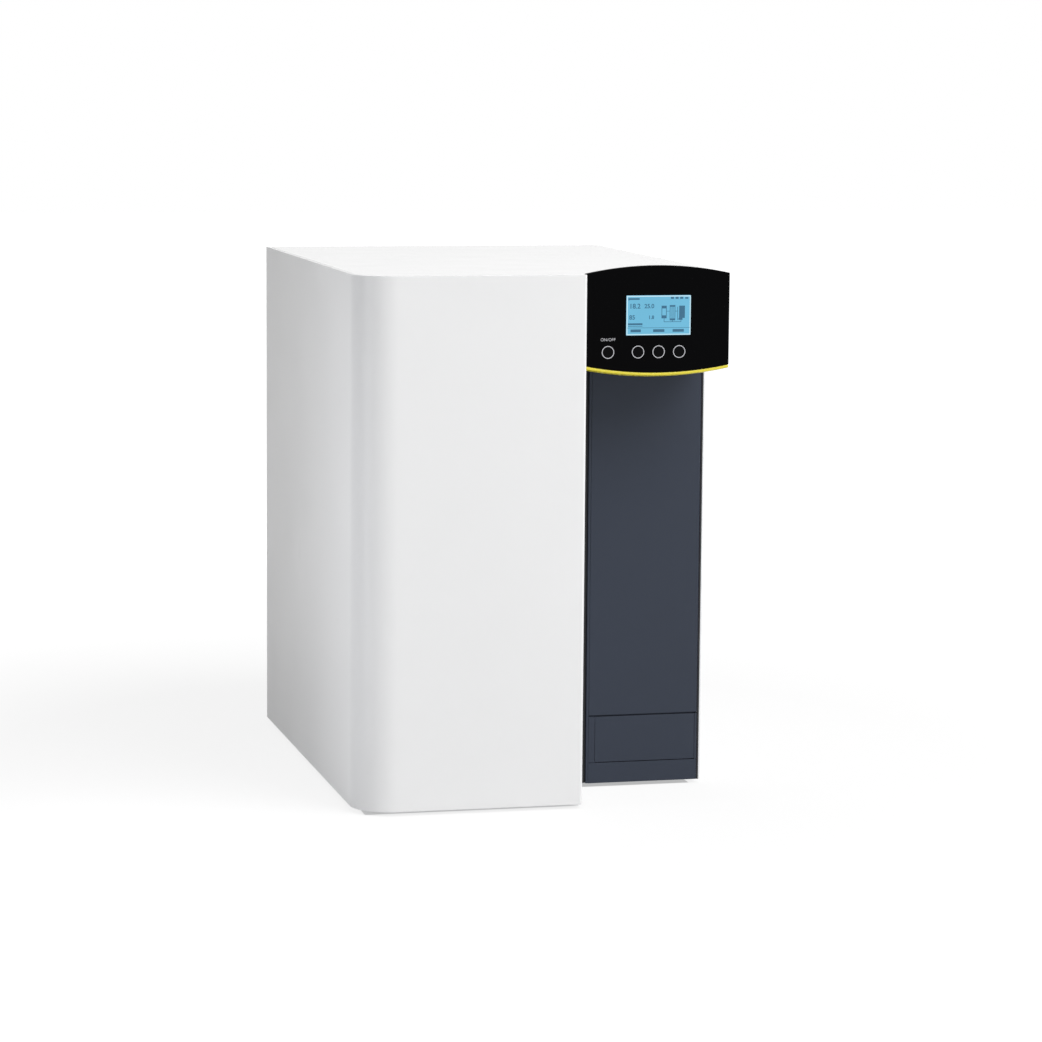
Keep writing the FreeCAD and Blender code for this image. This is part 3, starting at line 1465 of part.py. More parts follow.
base_and_top_plates()
door()
door_catches()
lid()
side_and_rear_panels()
partition()
column()
display_head()
cartridge("pretreatment_cartridge", pretreatment_y)
cartridge("polishing_cartridge", polishing_y)
cartridge_socket("pretreatment_socket", pretreatment_y)
cartridge_socket("polishing_socket", polishing_y)
membrane_vessel()
clips()
lamp_unit()
pump()
rear_fittings()
tubes()
sensors()
electrics()

doc.recompute()
for item in doc.Objects:
    for word in ("Invalid", "Error"):
        if word in item.State:
            raise RuntimeError(f"{item.Label} is {item.State}")
for name, piece in nodes.items():
    if piece.Shape.isNull() or not piece.Shape.isValid() or not piece.Shape.Solids:
        raise RuntimeError(f"{name} has no valid solid")

os.makedirs("parts", exist_ok=True)
for name, piece in nodes.items():
    piece.Shape.exportStep(f"parts/{name}.step")
print(len(nodes), "nodes written")
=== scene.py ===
"""Looks of a bench-top ultrapure water system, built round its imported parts."""

import json
import math

import bmesh
import bpy
from mathutils import Matrix, Vector


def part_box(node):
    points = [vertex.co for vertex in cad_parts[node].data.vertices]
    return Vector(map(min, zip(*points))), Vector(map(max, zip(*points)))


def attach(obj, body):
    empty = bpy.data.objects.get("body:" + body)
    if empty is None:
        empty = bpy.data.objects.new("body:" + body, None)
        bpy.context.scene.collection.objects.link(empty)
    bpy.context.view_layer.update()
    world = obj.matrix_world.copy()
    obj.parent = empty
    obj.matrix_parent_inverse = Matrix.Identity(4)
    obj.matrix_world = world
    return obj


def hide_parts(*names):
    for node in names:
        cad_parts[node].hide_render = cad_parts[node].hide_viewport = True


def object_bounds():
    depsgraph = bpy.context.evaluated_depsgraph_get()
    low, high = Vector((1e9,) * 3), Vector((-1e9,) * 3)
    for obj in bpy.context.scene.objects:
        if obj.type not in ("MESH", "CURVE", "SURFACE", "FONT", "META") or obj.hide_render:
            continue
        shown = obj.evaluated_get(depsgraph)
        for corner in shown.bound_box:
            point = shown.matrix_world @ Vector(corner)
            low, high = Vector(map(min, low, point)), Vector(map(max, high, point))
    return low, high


bl_info = {
    "name": "Ultrapure Water System",
    "version": (1, 0, 0),
    "blender": (4, 5, 0),
    "location": "3D View > Sidebar > Water System",
    "description": "Builds the looks of a bench-top ultrapure water system round its packed parts",
    "category": "Object",
}

MM = 0.001
SHARP = math.radians(35)
LEVEL = Matrix.Identity(4)
# Turn a piece made about Z so that its own Z points to the cabinet's back, front or right
TO_BACK = Matrix.Rotation(math.radians(-90), 4, "X")
TO_FRONT = Matrix.Rotation(math.radians(90), 4, "X")
TO_RIGHT = Matrix.Rotation(math.radians(90), 4, "Y")

CORNER_STEPS = 28
# Two noises added together lie mostly between these
NOISE_LOW, NOISE_HIGH = 0.6, 1.4
LEAST_ROUGHNESS = 0.02

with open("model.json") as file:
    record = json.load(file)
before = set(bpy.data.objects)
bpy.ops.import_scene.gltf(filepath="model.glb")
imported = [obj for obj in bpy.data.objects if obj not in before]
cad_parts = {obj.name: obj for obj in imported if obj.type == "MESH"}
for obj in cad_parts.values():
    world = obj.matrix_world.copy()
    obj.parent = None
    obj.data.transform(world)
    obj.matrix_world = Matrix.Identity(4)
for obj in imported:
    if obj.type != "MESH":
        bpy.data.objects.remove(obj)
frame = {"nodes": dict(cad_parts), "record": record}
cad_low, cad_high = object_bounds()


def in_mm(*pairs):
    """Pairs of millimetres in the scene's own unit."""
    return [(first * MM, second * MM) for first, second in pairs]


def linear(hex_colour):
    """An sRGB hex colour as the linear RGBA that Blender works in."""
    channels = [int(hex_colour[i:i + 2], 16) / 255 for i in (1, 3, 5)]
    spread = [c / 12.92 if c <= 0.04045 else ((c + 0.055) / 1.055) ** 2.4 for c in channels]
    return (*spread, 1.0)


# ---------------------------------------------------------------- settings


def length(name, description, millimetres):
    """A length that the sidebar shows in the scene's own unit."""
    return bpy.props.FloatProperty(
        name=name, description=description, default=millimetres * MM, min=0.0, precision=5,
        unit="LENGTH")


def tint(name, description, default):
    """A colour that the sidebar shows as a swatch."""
    return bpy.props.FloatVectorProperty(
        name=name, description=description, default=linear(default), size=4,
        min=0.0, max=1.0, subtype="COLOR")


class ShellSizes(bpy.types.PropertyGroup):
    """Sizes of the white mouldings and the dark column."""

    wall: length("Wall", "Wall of the door moulding", 3)
    corner_radius: length("Corner radius", "Rounded front left corner of the door", 38)
    rear_radius: length("Rear radius", "Rear left corner of the lid", 10)
    seam: length("Seam", "Shadow gap between the lid and the door's rim", 0.6)
    rim: length("Rim", "Rounding of the door's thin edges", 1.2)
    lid_edge: length("Lid edge", "Rounding of the lid's edges", 0.9)
    lead_edge: length("Leading edge", "Upright edge where the door meets the column", 2.6)
    panel_edge: length("Panel edge", "Rounding of folded and painted panels", 0.5)
    rib_depth: length("Rib depth", "Stiffening ribs inside the door", 3.5)
    rib_thickness: length("Rib thickness", "Stiffening ribs inside the door", 2)


class HeadSizes(bpy.types.PropertyGroup):
    """Sizes of what the display head carries."""

    edge: length("Fascia edge", "Rounding of the fascia's edges", 0.6)
    ring_radius: length("Ring radius", "Outer radius of a key's printed ring", 6)
    ring_width: length("Ring width", "Printed ring on each key", 0.75)
    print_depth: length("Print depth", "How far printing stands out", 0.05)
    letter_height: length("Letter height", "Printed letters over the first key", 4)


class FinishColours(bpy.types.PropertyGroup):
    """Colours of the finishes that a user would change."""

    shell: tint("Shell", "White mouldings", "#EDEDED")
    steel_paint: tint("Steel paint", "Painted side and base panels", "#E4E5E6")
    column: tint("Column", "Dark column", "#323844")
    fascia: tint("Fascia", "Gloss display fascia", "#040405")
    accent: tint("Accent", "Strip under the display head", "#DECF38")
    display: tint("Display", "Lit ground of the display", "#74C1E2")
    ink: tint("Ink", "Dark figures on the display", "#22607F")
    ring: tint("Key ring", "Rings and letters printed on the head", "#B9B9BD")


class WaterSystemSettings(bpy.types.PropertyGroup):
    """All settings of the water system."""

    shell: bpy.props.PointerProperty(type=ShellSizes, name="Shell", description="Shell sizes")
    head: bpy.props.PointerProperty(type=HeadSizes, name="Head", description="Display head sizes")
    colours: bpy.props.PointerProperty(type=FinishColours, name="Colours", description="Finish colours")


# ---------------------------------------------------------------- mesh tools


def at(x, y, z, turn=LEVEL):
    """A place in the scene, turned as given."""
    return Matrix.Translation((x, y, z)) @ turn


def block(bm, low, high):
    """A box between two corners."""
    low, high = Vector(low), Vector(high)
    middle, span = (low + high) / 2, high - low
    place = at(*middle, Matrix.Diagonal((*span, 1.0)))
    return bmesh.ops.create_cube(bm, size=1.0, matrix=place)["verts"]


def prism(bm, outline, low, high):
    """A slab: its outline in plan, raised from low to high."""
    corners = [bm.verts.new((x, y, low)) for x, y in outline]
    base = bm.faces.new(corners)
    grown = bmesh.ops.extrude_face_region(bm, geom=[base])
    raised = [item for item in grown["geom"] if isinstance(item, bmesh.types.BMVert)]
    bmesh.ops.translate(bm, verts=raised, vec=(0, 0, high - low))
    bmesh.ops.recalc_face_normals(bm, faces=bm.faces)
    return corners + raised


def round_upright(bm, x, y, radius, segments):
    """Rounds the upright edge that stands at a place in plan."""
    def stands_there(vert):
        return math.hypot(vert.co.x - x, vert.co.y - y) < 0.01 * MM

    edges = [e for e in bm.edges if all(stands_there(v) for v in e.verts)]
    bmesh.ops.bevel(bm, geom=edges, offset=radius, offset_type="OFFSET", segments=segments,
                    profile=0.5, affect="EDGES", material=-1)


def soften(bm, radius, segments=2):
    """Rounds every sharp edge, as a mould or a press tool leaves it."""
    edges = [e for e in bm.edges if e.is_manifold and e.calc_face_angle() > SHARP]
    bmesh.ops.bevel(bm, geom=edges, offset=radius, offset_type="OFFSET", segments=segments,
                    profile=0.5, affect="EDGES", clamp_overlap=True, material=-1)


def reach_of(vert):
    """All corners of the loose shape that one corner belongs to."""
    reach, waiting = set(), [vert]
    while waiting:
        found = waiting.pop()
        if found not in reach:
            reach.add(found)
            waiting.extend(edge.other_vert(found) for edge in found.link_edges)
    return reach


def spin(bm, profile, place=LEVEL, steps=64):
    """A round piece: a half profile of (radius, height), turned about Z, then placed."""
    chain = [bm.verts.new((radius, 0, height)) for radius, height in profile]
    links = [bm.edges.new(pair) for pair in zip(chain, chain[1:])]
    bmesh.ops.spin(bm, geom=chain + links, cent=(0, 0, 0), axis=(0, 0, 1), dvec=(0, 0, 0),
                   angle=math.tau, steps=steps, use_merge=True, use_duplicate=False)
    start = next(vert for vert in chain if vert.is_valid)
    bmesh.ops.remove_doubles(bm, verts=list(reach_of(start)), dist=0.001 * MM)
    live = list(reach_of(next(vert for vert in chain if vert.is_valid)))
    faces = list({face for vert in live for face in vert.link_faces})
    bmesh.ops.recalc_face_normals(bm, faces=faces)
    bmesh.ops.transform(bm, matrix=place, verts=live)
    return live


def loose_boxes(node):
    """The corners of each loose solid of a CAD piece, in order of place."""
    bm = merged_copy(node)
    waiting, found = set(bm.verts), []
    while waiting:
        reach = reach_of(next(iter(waiting)))
        waiting -= reach
        spots = [vert.co for vert in reach]
        low = Vector([min(spot[axis] for spot in spots) for axis in range(3)])
        high = Vector([max(spot[axis] for spot in spots) for axis in range(3)])
        found.append((low, high))
    bm.free()
    return sorted(found, key=lambda pair: tuple(round(value, 4) for value in pair[0]))


def mesh_of(name, bm):
    """Turns a shape into a mesh and frees the shape."""
    mesh = bpy.data.meshes.new(name)
    bm.to_mesh(mesh)
    bm.free()
    return mesh


def new_object(name, data):
    """An object that the scene shows."""
    made = bpy.data.objects.new(name, data)
    bpy.context.scene.collection.objects.link(made)
    return made


def joined(bm, other):
    """Adds one shape to another."""
    mesh = mesh_of("joined", other)
    bm.from_mesh(mesh)
    bpy.data.meshes.remove(mesh)


def carved(bm, tool):
    """A shape with a tool's volume cut out of it."""
    made = [new_object(name, mesh_of(name, shape)) for name, shape in (("blank", bm), ("tool", tool))]
    cut = made[0].modifiers.new("cut", "BOOLEAN")
    cut.operation = "DIFFERENCE"
    cut.solver = "EXACT"
    cut.object = made[1]
    bpy.context.view_layer.update()
    result = bmesh.new()
    result.from_object(made[0], bpy.context.evaluated_depsgraph_get())
    for used in made:
        mesh = used.data
        bpy.data.objects.remove(used)
        bpy.data.meshes.remove(mesh)
    return result


def piece(name, bm, slot, replaces=(), material=None, body="cabinet"):
    """Makes an object of a mesh, gives it its finish and lets it ride on a body."""
    mesh = mesh_of(name, bm)
    mesh.polygons.foreach_set("use_smooth", [True] * len(mesh.polygons))
    mesh.set_sharp_from_angle(angle=SHARP)
    mesh.materials.append(material or finish(slot))
    made = new_object(name, mesh)
    flat = made.modifiers.new("flat faces", "WEIGHTED_NORMAL")
    flat.keep_sharp = True
    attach(made, body)
    if replaces:
        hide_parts(*replaces)
    return made


def blocks(name, slot, boxes, radius=0.0, **others):
    """A piece made of boxes, their edges rounded alike."""
    bm = bmesh.new()
    for low, high in boxes:
        block(bm, low, high)
    if radius:
        soften(bm, radius)
    return piece(name, bm, slot, **others)


def merged_copy(node):
    """A CAD piece as one closed mesh, its flat faces whole again."""
    bm = bmesh.new()
    bm.from_mesh(frame["nodes"][node].data)
    bmesh.ops.remove_doubles(bm, verts=bm.verts, dist=0.005 * MM)
    bmesh.ops.dissolve_limit(bm, angle_limit=math.radians(0.3), verts=bm.verts, edges=bm.edges)
    return bm


def moulded_copy(name, node, slot, radius, body="cabinet"):
    """A CAD piece with its sharp edges rounded."""
    bm = merged_copy(node)
    soften(bm, radius)
    return piece(name, bm, slot, (node,), body=body)


def lettering(name, text, height, place, slot, material, weight=0.0):
    """Raised print: text as a thin mesh, its strokes thickened by a weight."""
    curve = bpy.data.curves.new(name, "FONT")
    curve.body = text
    curve.size = height
    curve.align_x = "CENTER"
    curve.align_y = "CENTER"
    curve.extrude = 0.02 * MM
    curve.offset = weight
    writer = new_object(name, curve)
    bpy.context.view_layer.update()
    bm = bmesh.new()
    evaluated = writer.evaluated_get(bpy.context.evaluated_depsgraph_get())
    bm.from_mesh(evaluated.to_mesh())
    evaluated.to_mesh_clear()
    bpy.data.objects.remove(writer)
    bpy.data.curves.remove(curve)
    bmesh.ops.transform(bm, matrix=place, verts=bm.verts)
    return piece(name, bm, slot, material=material)


# ---------------------------------------------------------------- finishes


def add_node(tree, kind, inputs=None, **settings):
    """Adds a shader node with its settings; an input is a value, or a socket to link."""
    made = tree.nodes.new(kind)
    for name, value in settings.items():
        setattr(made, name, value)
    for key, value in (inputs or {}).items():
        socket = made.inputs[key]
        if isinstance(value, bpy.types.NodeSocket):
            tree.links.new(value, socket)
        else:
            socket.default_value = value
    return made


def shaded(colour, share):
    """A linear colour, darker by a share."""
    return (*[channel * (1 - share) for channel in colour[:3]], 1.0)


def surface(name, colour, roughness, grain, relief, patch=70 * MM, tone=0.04, gloss_change=0.05,
            stretch=(1, 1, 1), **constants):
    """A finish with a fine relief of one grain size and a slow change of tone and gloss."""
    material = bpy.data.materials.new(name)
    material.use_nodes = True
    tree = material.node_tree
    shader = tree.nodes["Principled BSDF"]
    spot = add_node(tree, "ShaderNodeTexCoord").outputs["Object"]
    drawn = add_node(tree, "ShaderNodeMapping", {"Vector": spot, "Scale": stretch}).outputs["Vector"]
    fine = add_node(tree, "ShaderNodeTexNoise", {"Vector": drawn, "Scale": 1 / grain, "Detail": 3.0})
    slow = add_node(tree, "ShaderNodeTexNoise", {"Vector": spot, "Scale": 1 / patch, "Detail": 2.0})
    mixed = add_node(tree, "ShaderNodeMix", {0: slow.outputs["Fac"], 6: shaded(colour, tone), 7: colour},
                     data_type="RGBA")
    both = add_node(tree, "ShaderNodeMath", {0: fine.outputs["Fac"], 1: slow.outputs["Fac"]},
                    operation="ADD")
    gloss = add_node(tree, "ShaderNodeMapRange", {
        "Value": both.outputs[0], "From Min": NOISE_LOW, "From Max": NOISE_HIGH,
        "To Min": max(roughness - gloss_change, LEAST_ROUGHNESS), "To Max": roughness + gloss_change})
    bump = add_node(tree, "ShaderNodeBump", {
        "Strength": 1.0, "Distance": relief, "Height": fine.outputs["Fac"]})
    tree.links.new(mixed.outputs[2], shader.inputs["Base Color"])
    tree.links.new(gloss.outputs["Result"], shader.inputs["Roughness"])
    tree.links.new(bump.outputs["Normal"], shader.inputs["Normal"])
    for socket, value in constants.items():
        shader.inputs[socket.replace("_", " ")].default_value = value
    return material


def toned(material, kind, output, socket, colour, darker, **settings):
    """Lets a pattern drawn on the piece mix a darker tone into one input of a finish."""
    tree = material.node_tree
    shader = tree.nodes["Principled BSDF"]
    spot = next(n for n in tree.nodes if n.bl_idname == "ShaderNodeTexCoord").outputs["Object"]
    pattern = add_node(tree, kind, {"Vector": spot, **settings})
    tones = add_node(tree, "ShaderNodeMix", {
        0: pattern.outputs[output], 6: shaded(colour, darker), 7: colour}, data_type="RGBA")
    tree.links.new(tones.outputs[2], shader.inputs[socket])
    return material


def galvanised_steel(colours):
    # Mild steel sheet, hot-dip galvanised: grey metal with spangles some 9 mm across.
    colour = linear("#B4B8BB")
    material = surface("galvanised steel sheet", colour, 0.42, 0.8 * MM, 0.01 * MM, Metallic=1.0)
    return toned(material, "ShaderNodeTexVoronoi", "Color", "Base Color", colour, 0.22, Scale=1 / (9 * MM))


def circuit_board(colours):
    # Glass-fibre epoxy board with green solder resist: glossy, with paler copper tracks beneath.
    # The tracks are drawn every 5 mm, where the real ones lie closer.
    colour = linear("#1E5B38")
    material = surface("green solder resist", colour, 0.3, 0.8 * MM, 0.01 * MM, IOR=1.5)
    return toned(material, "ShaderNodeTexWave", "Fac", "Base Color", colour, 0.35,
                 Scale=1 / (16 * MM), Distortion=6.0)


def display(colours):
    # Liquid crystal module with a white back light: even pale blue, lit from within.
    # The back light is a little uneven over some 40 mm.
    material = surface("lit liquid crystal panel", shaded(colours.display, 0.9), 0.22, 0.5 * MM,
                       0.001 * MM, IOR=1.52, Specular_IOR_Level=0.2, Emission_Strength=0.86)
    return toned(material, "ShaderNodeTexNoise", "Fac", "Emission Color", colours.display, 0.1,
                 Scale=1 / (40 * MM), Detail=1.0)


def display_edge(colours):
    # The bare rim of the back light: paler than the panel inside it.
    colour = linear("#C6EAF8")
    return surface("bare rim of the back light", shaded(colour, 0.9), 0.3, 0.5 * MM, 0.001 * MM,
                   IOR=1.52, Specular_IOR_Level=0.2, Emission_Color=colour, Emission_Strength=0.88)


def display_ink(colours):
    # Darkened liquid crystal: figures in deep blue on the lit ground.
    return surface("dark liquid crystal figures", shaded(colours.ink, 0.5), 0.3, 0.5 * MM, 0.001 * MM,
                   IOR=1.52, Emission_Color=colours.ink, Emission_Strength=0.55)


def accent_yellow(colours):
    # Acrylic bar, extruded and tinted through: clear yellow; its bright cut edge is drawn as a faint painted
    # glow over the whole bar.
    return surface("tinted yellow acrylic with painted glow", colours.accent, 0.28, 3 * MM, 0.01 * MM, tone=0.06, IOR=1.49,
                   Emission_Color=colours.accent, Emission_Strength=0.06)


SPECIAL_FINISHES = {
    "galvanised_steel": galvanised_steel,
    "circuit_board": circuit_board,
    "display": display,
    "display_edge": display_edge,
    "display_ink": display_ink,
    "accent_yellow": accent_yellow,
}

# Name of the material, colour (sRGB hex, or a colour of the settings), roughness, grain and relief of
# its fine pattern in mm, and whatever else differs from a plain surface
PLAIN_FINISHES = {
    # ABS, injection moulded in a fine spark-eroded tool: bright, half gloss, with a faint texture.
    # The texture is drawn at 1.2 mm, coarser than the real 0.2 mm, so that it shows.
    "white_shell": ("textured white ABS", "shell", 0.32, 1.2, 0.012, dict(
        tone=0.015, IOR=1.53, Specular_IOR_Level=0.2)),
    # The same ABS, moulded flat in a finer tool: a little glossier than the shell.
    "white_lid": ("satin white ABS", "shell", 0.19, 1.2, 0.008, dict(
        tone=0.015, gloss_change=0.03, IOR=1.53, Specular_IOR_Level=0.2)),
    # Mild steel, polyester powder coat: white, with the orange peel of a baked coat.
    "white_steel": ("white powder-coated steel", "steel_paint", 0.42, 2.2, 0.02, dict(tone=0.02, IOR=1.5)),
    # Nitrile rubber, compression moulded: black, dull, slightly dusty.
    "rubber": ("black nitrile rubber", "#26272A", 0.82, 0.7, 0.03, dict(tone=0.2, IOR=1.52)),
    # Steel, turned or headed, zinc plated: bright metal with fine turning marks.
    "bright_steel": ("bright zinc-plated steel", "#C9CBCD", 0.27, 0.35, 0.008, dict(Metallic=1.0)),
    # Catch magnets in a glass-filled nylon case: near black, matt.
    "magnet_black": ("black nylon catch", "#232427", 0.6, 0.6, 0.015, dict(tone=0.12, IOR=1.53)),
    # Steel sheet with a fine-texture powder coat in dark blue grey: matt, even, slightly sandy.
    "column_dark": ("blue-grey powder coat", "column", 0.5, 1.4, 0.02, dict(
        tone=0.06, IOR=1.5, Specular_IOR_Level=0.2)),
    # ABS, moulded with a light grain: black, low gloss.
    "head_black": ("black grained ABS", "#121315", 0.45, 0.8, 0.012, dict(
        tone=0.15, IOR=1.53, Specular_IOR_Level=0.25)),
    # Acrylic sheet, printed black from behind: deep black under a clear polished face.
    "fascia_gloss": ("back-printed acrylic", "fascia", 0.09, 40, 0.01, dict(
        tone=0.2, gloss_change=0.02, IOR=1.49, Specular_IOR_Level=0.03)),
    # Screen print on acrylic: flat light grey ink with a slightly rough film.
    "panel_print": ("light grey screen print", "ring", 0.5, 0.4, 0.004, dict(tone=0.05, IOR=1.5)),
    # Polycarbonate key cap, hard coated: black, nearly as glossy as the fascia.
    "key_black": ("black hard-coated polycarbonate", "#050506", 0.16, 6, 0.004, dict(
        tone=0.15, IOR=1.58, Specular_IOR_Level=0.04)),
    # Polypropylene, moulded: warm white, waxy, letting a little light in.
    "cartridge_white": ("white polypropylene", "#E6E6E1", 0.36, 2.5, 0.02, dict(
        tone=0.03, IOR=1.49, Subsurface_Weight=0.08, Subsurface_Scale=2 * MM)),
    # Glass-filled polypropylene: mid grey, with pale flow marks.
    "moulded_grey": ("grey glass-filled polypropylene", "#7E848B", 0.5, 1.5, 0.02, dict(
        patch=25 * MM, tone=0.12, IOR=1.49)),
    # PVC pipe, extruded: plain white with faint lines along its length.
    "vessel_white": ("white extruded PVC", "#DFE1E2", 0.33, 2, 0.015, dict(
        tone=0.03, stretch=(1, 1, 0.05), IOR=1.53)),
    # Polyester membrane wound in tape: pale blue, with fine bands and patches some 12 mm wide.
    "membrane": ("tape-wound membrane", "#9DB6C8", 0.4, 2, 0.03, dict(
        patch=12 * MM, tone=0.2, stretch=(0.2, 0.2, 1), IOR=1.5)),
    # Stainless tube, ground lengthwise: soft bright streaks along Z.
    "stainless": ("ground stainless steel", "#BEC1C4", 0.3, 0.7, 0.01, dict(
        stretch=(1, 1, 0.02), Metallic=1.0)),
    # Glass-filled nylon: black with a satin grain.
    "black_plastic": ("black glass-filled nylon", "#1B1C1F", 0.48, 0.8, 0.015, dict(tone=0.15, IOR=1.53)),
    # Fused quartz tube: clear, thin and polished, with faint draw lines.
    "quartz": ("fused quartz", "#E8F0F4", 0.06, 4, 0.004, dict(
        gloss_change=0.03, stretch=(1, 1, 0.05), IOR=1.46, Transmission_Weight=0.9)),
    # Brass, sand cast and machined: warm yellow metal, a little dull.
    "cast_brass": ("cast brass", "#B99A5B", 0.38, 0.9, 0.03, dict(Metallic=1.0, tone=0.15)),
    # Stove enamel on rolled steel: black-blue, glossy, with a slight ripple.
    "motor_enamel": ("dark stove enamel", "#24303E", 0.3, 5, 0.04, dict(tone=0.1, IOR=1.5)),
    # Polyethylene tube, extruded: milky, half clear.
    "tubing": ("milky polyethylene tube", "#E4EAEC", 0.32, 1.5, 0.01, dict(
        tone=0.04, IOR=1.51, Transmission_Weight=0.25, Subsurface_Weight=0.2,
        Subsurface_Scale=2 * MM)),
}
made_finishes = {}


def finish(name):
    """The material of a finish, made when it is first asked for."""
    colours = bpy.context.scene.water_system.colours
    if name in SPECIAL_FINISHES and name not in made_finishes:
        made_finishes[name] = SPECIAL_FINISHES[name](colours)
    elif name not in made_finishes:
        title, colour, roughness, grain, relief, others = PLAIN_FINISHES[name]
        colour = linear(colour) if colour.startswith("#") else getattr(colours, colour)
        made_finishes[name] = surface(title, colour, roughness, grain * MM, relief * MM, **others)
    return made_finishes[name]


# ---------------------------------------------------------------- operators


class WATER_OT_stage(bpy.types.Operator):
    """Set the camera, the pale floor, the lamps and the white surround"""

    bl_idname = "water_system.stage"
    bl_label = "Stage"

    # Solved from the photograph's straight edges: angles in degrees, place in m, focal length and
    # picture width in pixels, sensor width in mm
    YAW, PITCH, ROLL = 13.749, 7.498, 0.448
    EYE = (-0.8101, -3.4585, 0.7108)
    FOCAL_LENGTH, PICTURE_WIDTH, SENSOR_WIDTH = 3572.4, 1042, 36
    # Name, place, aim, width, height, watts, colour
    LAMPS = (
        ("key lamp", (1.7, -2.05, 3.0), (0.05, 0, 0.25), 2.6, 2.6, 124, "#FFFFFF"),
        ("top lamp", (-0.3, 0.3, 3.2), (0, 0, 0.4), 2.6, 2.6, 15, "#FFFFFF"),
        ("corner lamp", (-0.55, -0.32, 0.28), (-0.18, -0.24, 0.25), 0.12, 0.6, 0.7, "#F8FAFF"),
        ("low lamp", (1.2, -1.35, 0.15), (0.12, -0.15, 0.3), 0.6, 0.3, 5.2, "#FCFDFF"),
    )
    FLOOR_REACH = 12
    FLOOR_GLOW = 1.14
    # Share of the glow near the object, and beyond the fade to the surround; both distances in m
    GLOW_NEAR, GLOW_FAR = 0.72, 1.0
    FADE_START, FADE_END = 0.5, 1.6
    # Painted shade under the cabinet: share of the floor's glow taken away there
    UNDER_SHADE = 0.35
    WORLD_LIGHT = 0.25

    def execute(self, context):
        self.camera(context)
        self.floor(context)
        self.world(context)
        for name, spot, aim, wide, tall, watts, colour in self.LAMPS:
            light = bpy.data.lights.new(name, "AREA")
            light.shape = "RECTANGLE"
            light.size = wide
            light.size_y = tall
            light.energy = watts
            light.color = linear(colour)[:3]
            lamp = new_object(name, light)
            lamp.location = spot
            lamp.rotation_mode = "QUATERNION"
            lamp.rotation_quaternion = (Vector(aim) - Vector(spot)).to_track_quat("-Z", "Y")
            lamp.visible_camera = False
        context.scene.view_settings.view_transform = "Standard"
        return {"FINISHED"}

    def camera(self, context):
        """The camera stands where the photograph's edges say that it stood."""
        yaw, pitch, roll = (math.radians(angle) for angle in (self.YAW, self.PITCH, self.ROLL))
        ahead = Vector((math.sin(yaw) * math.cos(pitch), math.cos(yaw) * math.cos(pitch), -math.sin(pitch)))
        right = Vector((math.cos(yaw), -math.sin(yaw), 0))
        up = right.cross(ahead)
        rolled = right * math.cos(roll) + up * math.sin(roll)
        over = rolled.cross(ahead)
        data = bpy.data.cameras.new("photo camera")
        data.sensor_width = self.SENSOR_WIDTH
        data.lens = self.SENSOR_WIDTH * self.FOCAL_LENGTH / self.PICTURE_WIDTH
        data.clip_end = 100
        camera = new_object("photo camera", data)
        turn = Matrix((rolled, over, -ahead)).transposed()
        camera.matrix_world = Matrix.Translation(self.EYE) @ turn.to_4x4()
        context.scene.camera = camera

    def floor(self, context):
        """A wide pale floor that keeps the object's shadow."""
        bm = bmesh.new()
        bmesh.ops.create_grid(bm, x_segments=1, y_segments=1, size=self.FLOOR_REACH)
        mesh = mesh_of("floor", bm)
        floor = new_object("floor", mesh)
        material = bpy.data.materials.new("pale painted floor")
        material.use_nodes = True
        tree = material.node_tree
        shader = tree.nodes["Principled BSDF"]
        shader.inputs["Base Color"].default_value = linear("#CBCBCB")
        shader.inputs["Roughness"].default_value = 0.9
        glow = add_node(tree, "ShaderNodeEmission", {"Color": (1, 1, 1, 1), "Strength": self.FLOOR_GLOW})
        # Painted near the object, fading to the plain white of the surround
        spot = add_node(tree, "ShaderNodeTexCoord").outputs["Object"]
        away = add_node(tree, "ShaderNodeVectorMath", {0: spot}, operation="LENGTH").outputs["Value"]
        white = add_node(tree, "ShaderNodeMapRange", {
            "Value": away, "From Min": self.FADE_START, "From Max": self.FADE_END,
            "To Min": self.GLOW_NEAR, "To Max": self.GLOW_FAR})
        bright = add_node(tree, "ShaderNodeMath", {0: white.outputs["Result"], 1: self.painted_under_shade(tree, spot)},
                          operation="SUBTRACT")
        share = add_node(tree, "ShaderNodeMath", {0: seen_directly(tree), 1: bright.outputs[0]},
                         operation="MULTIPLY")
        mixed = add_node(tree, "ShaderNodeMixShader", {
            0: share.outputs[0], 1: shader.outputs["BSDF"], 2: glow.outputs["Emission"]})
        tree.links.new(mixed.outputs["Shader"], tree.nodes["Material Output"].inputs["Surface"])
        mesh.materials.append(material)

    def painted_under_shade(self, tree, spot):
        """A painted shade under the cabinet, but not before the column: how much of the floor's glow is
        taken away there, so that its own shading shows darker.
        """
        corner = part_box("column_frame")[0]
        place = add_node(tree, "ShaderNodeSeparateXYZ", {0: spot}).outputs
        tests = (
            (place["X"], "COMPARE", 0.0, cad_high.x - 10 * MM),
            (place["Y"], "COMPARE", 0.0, cad_high.y - 13 * MM),
            (place["X"], "GREATER_THAN", corner.x, 0.0),
            (place["Y"], "LESS_THAN", corner.y, 0.0),
        )
        found = [add_node(tree, "ShaderNodeMath", {0: value, 1: limit, 2: reach}, operation=test).outputs[0]
                 for value, test, limit, reach in tests]
        inside, recess = (
            add_node(tree, "ShaderNodeMath", {0: first, 1: second}, operation="MULTIPLY").outputs[0]
            for first, second in (found[:2], found[2:]))
        under = add_node(tree, "ShaderNodeMath", {0: inside, 1: recess}, operation="GREATER_THAN")
        shade = add_node(tree, "ShaderNodeMath", {0: under.outputs[0], 1: self.UNDER_SHADE},
                         operation="MULTIPLY")
        return shade.outputs[0]

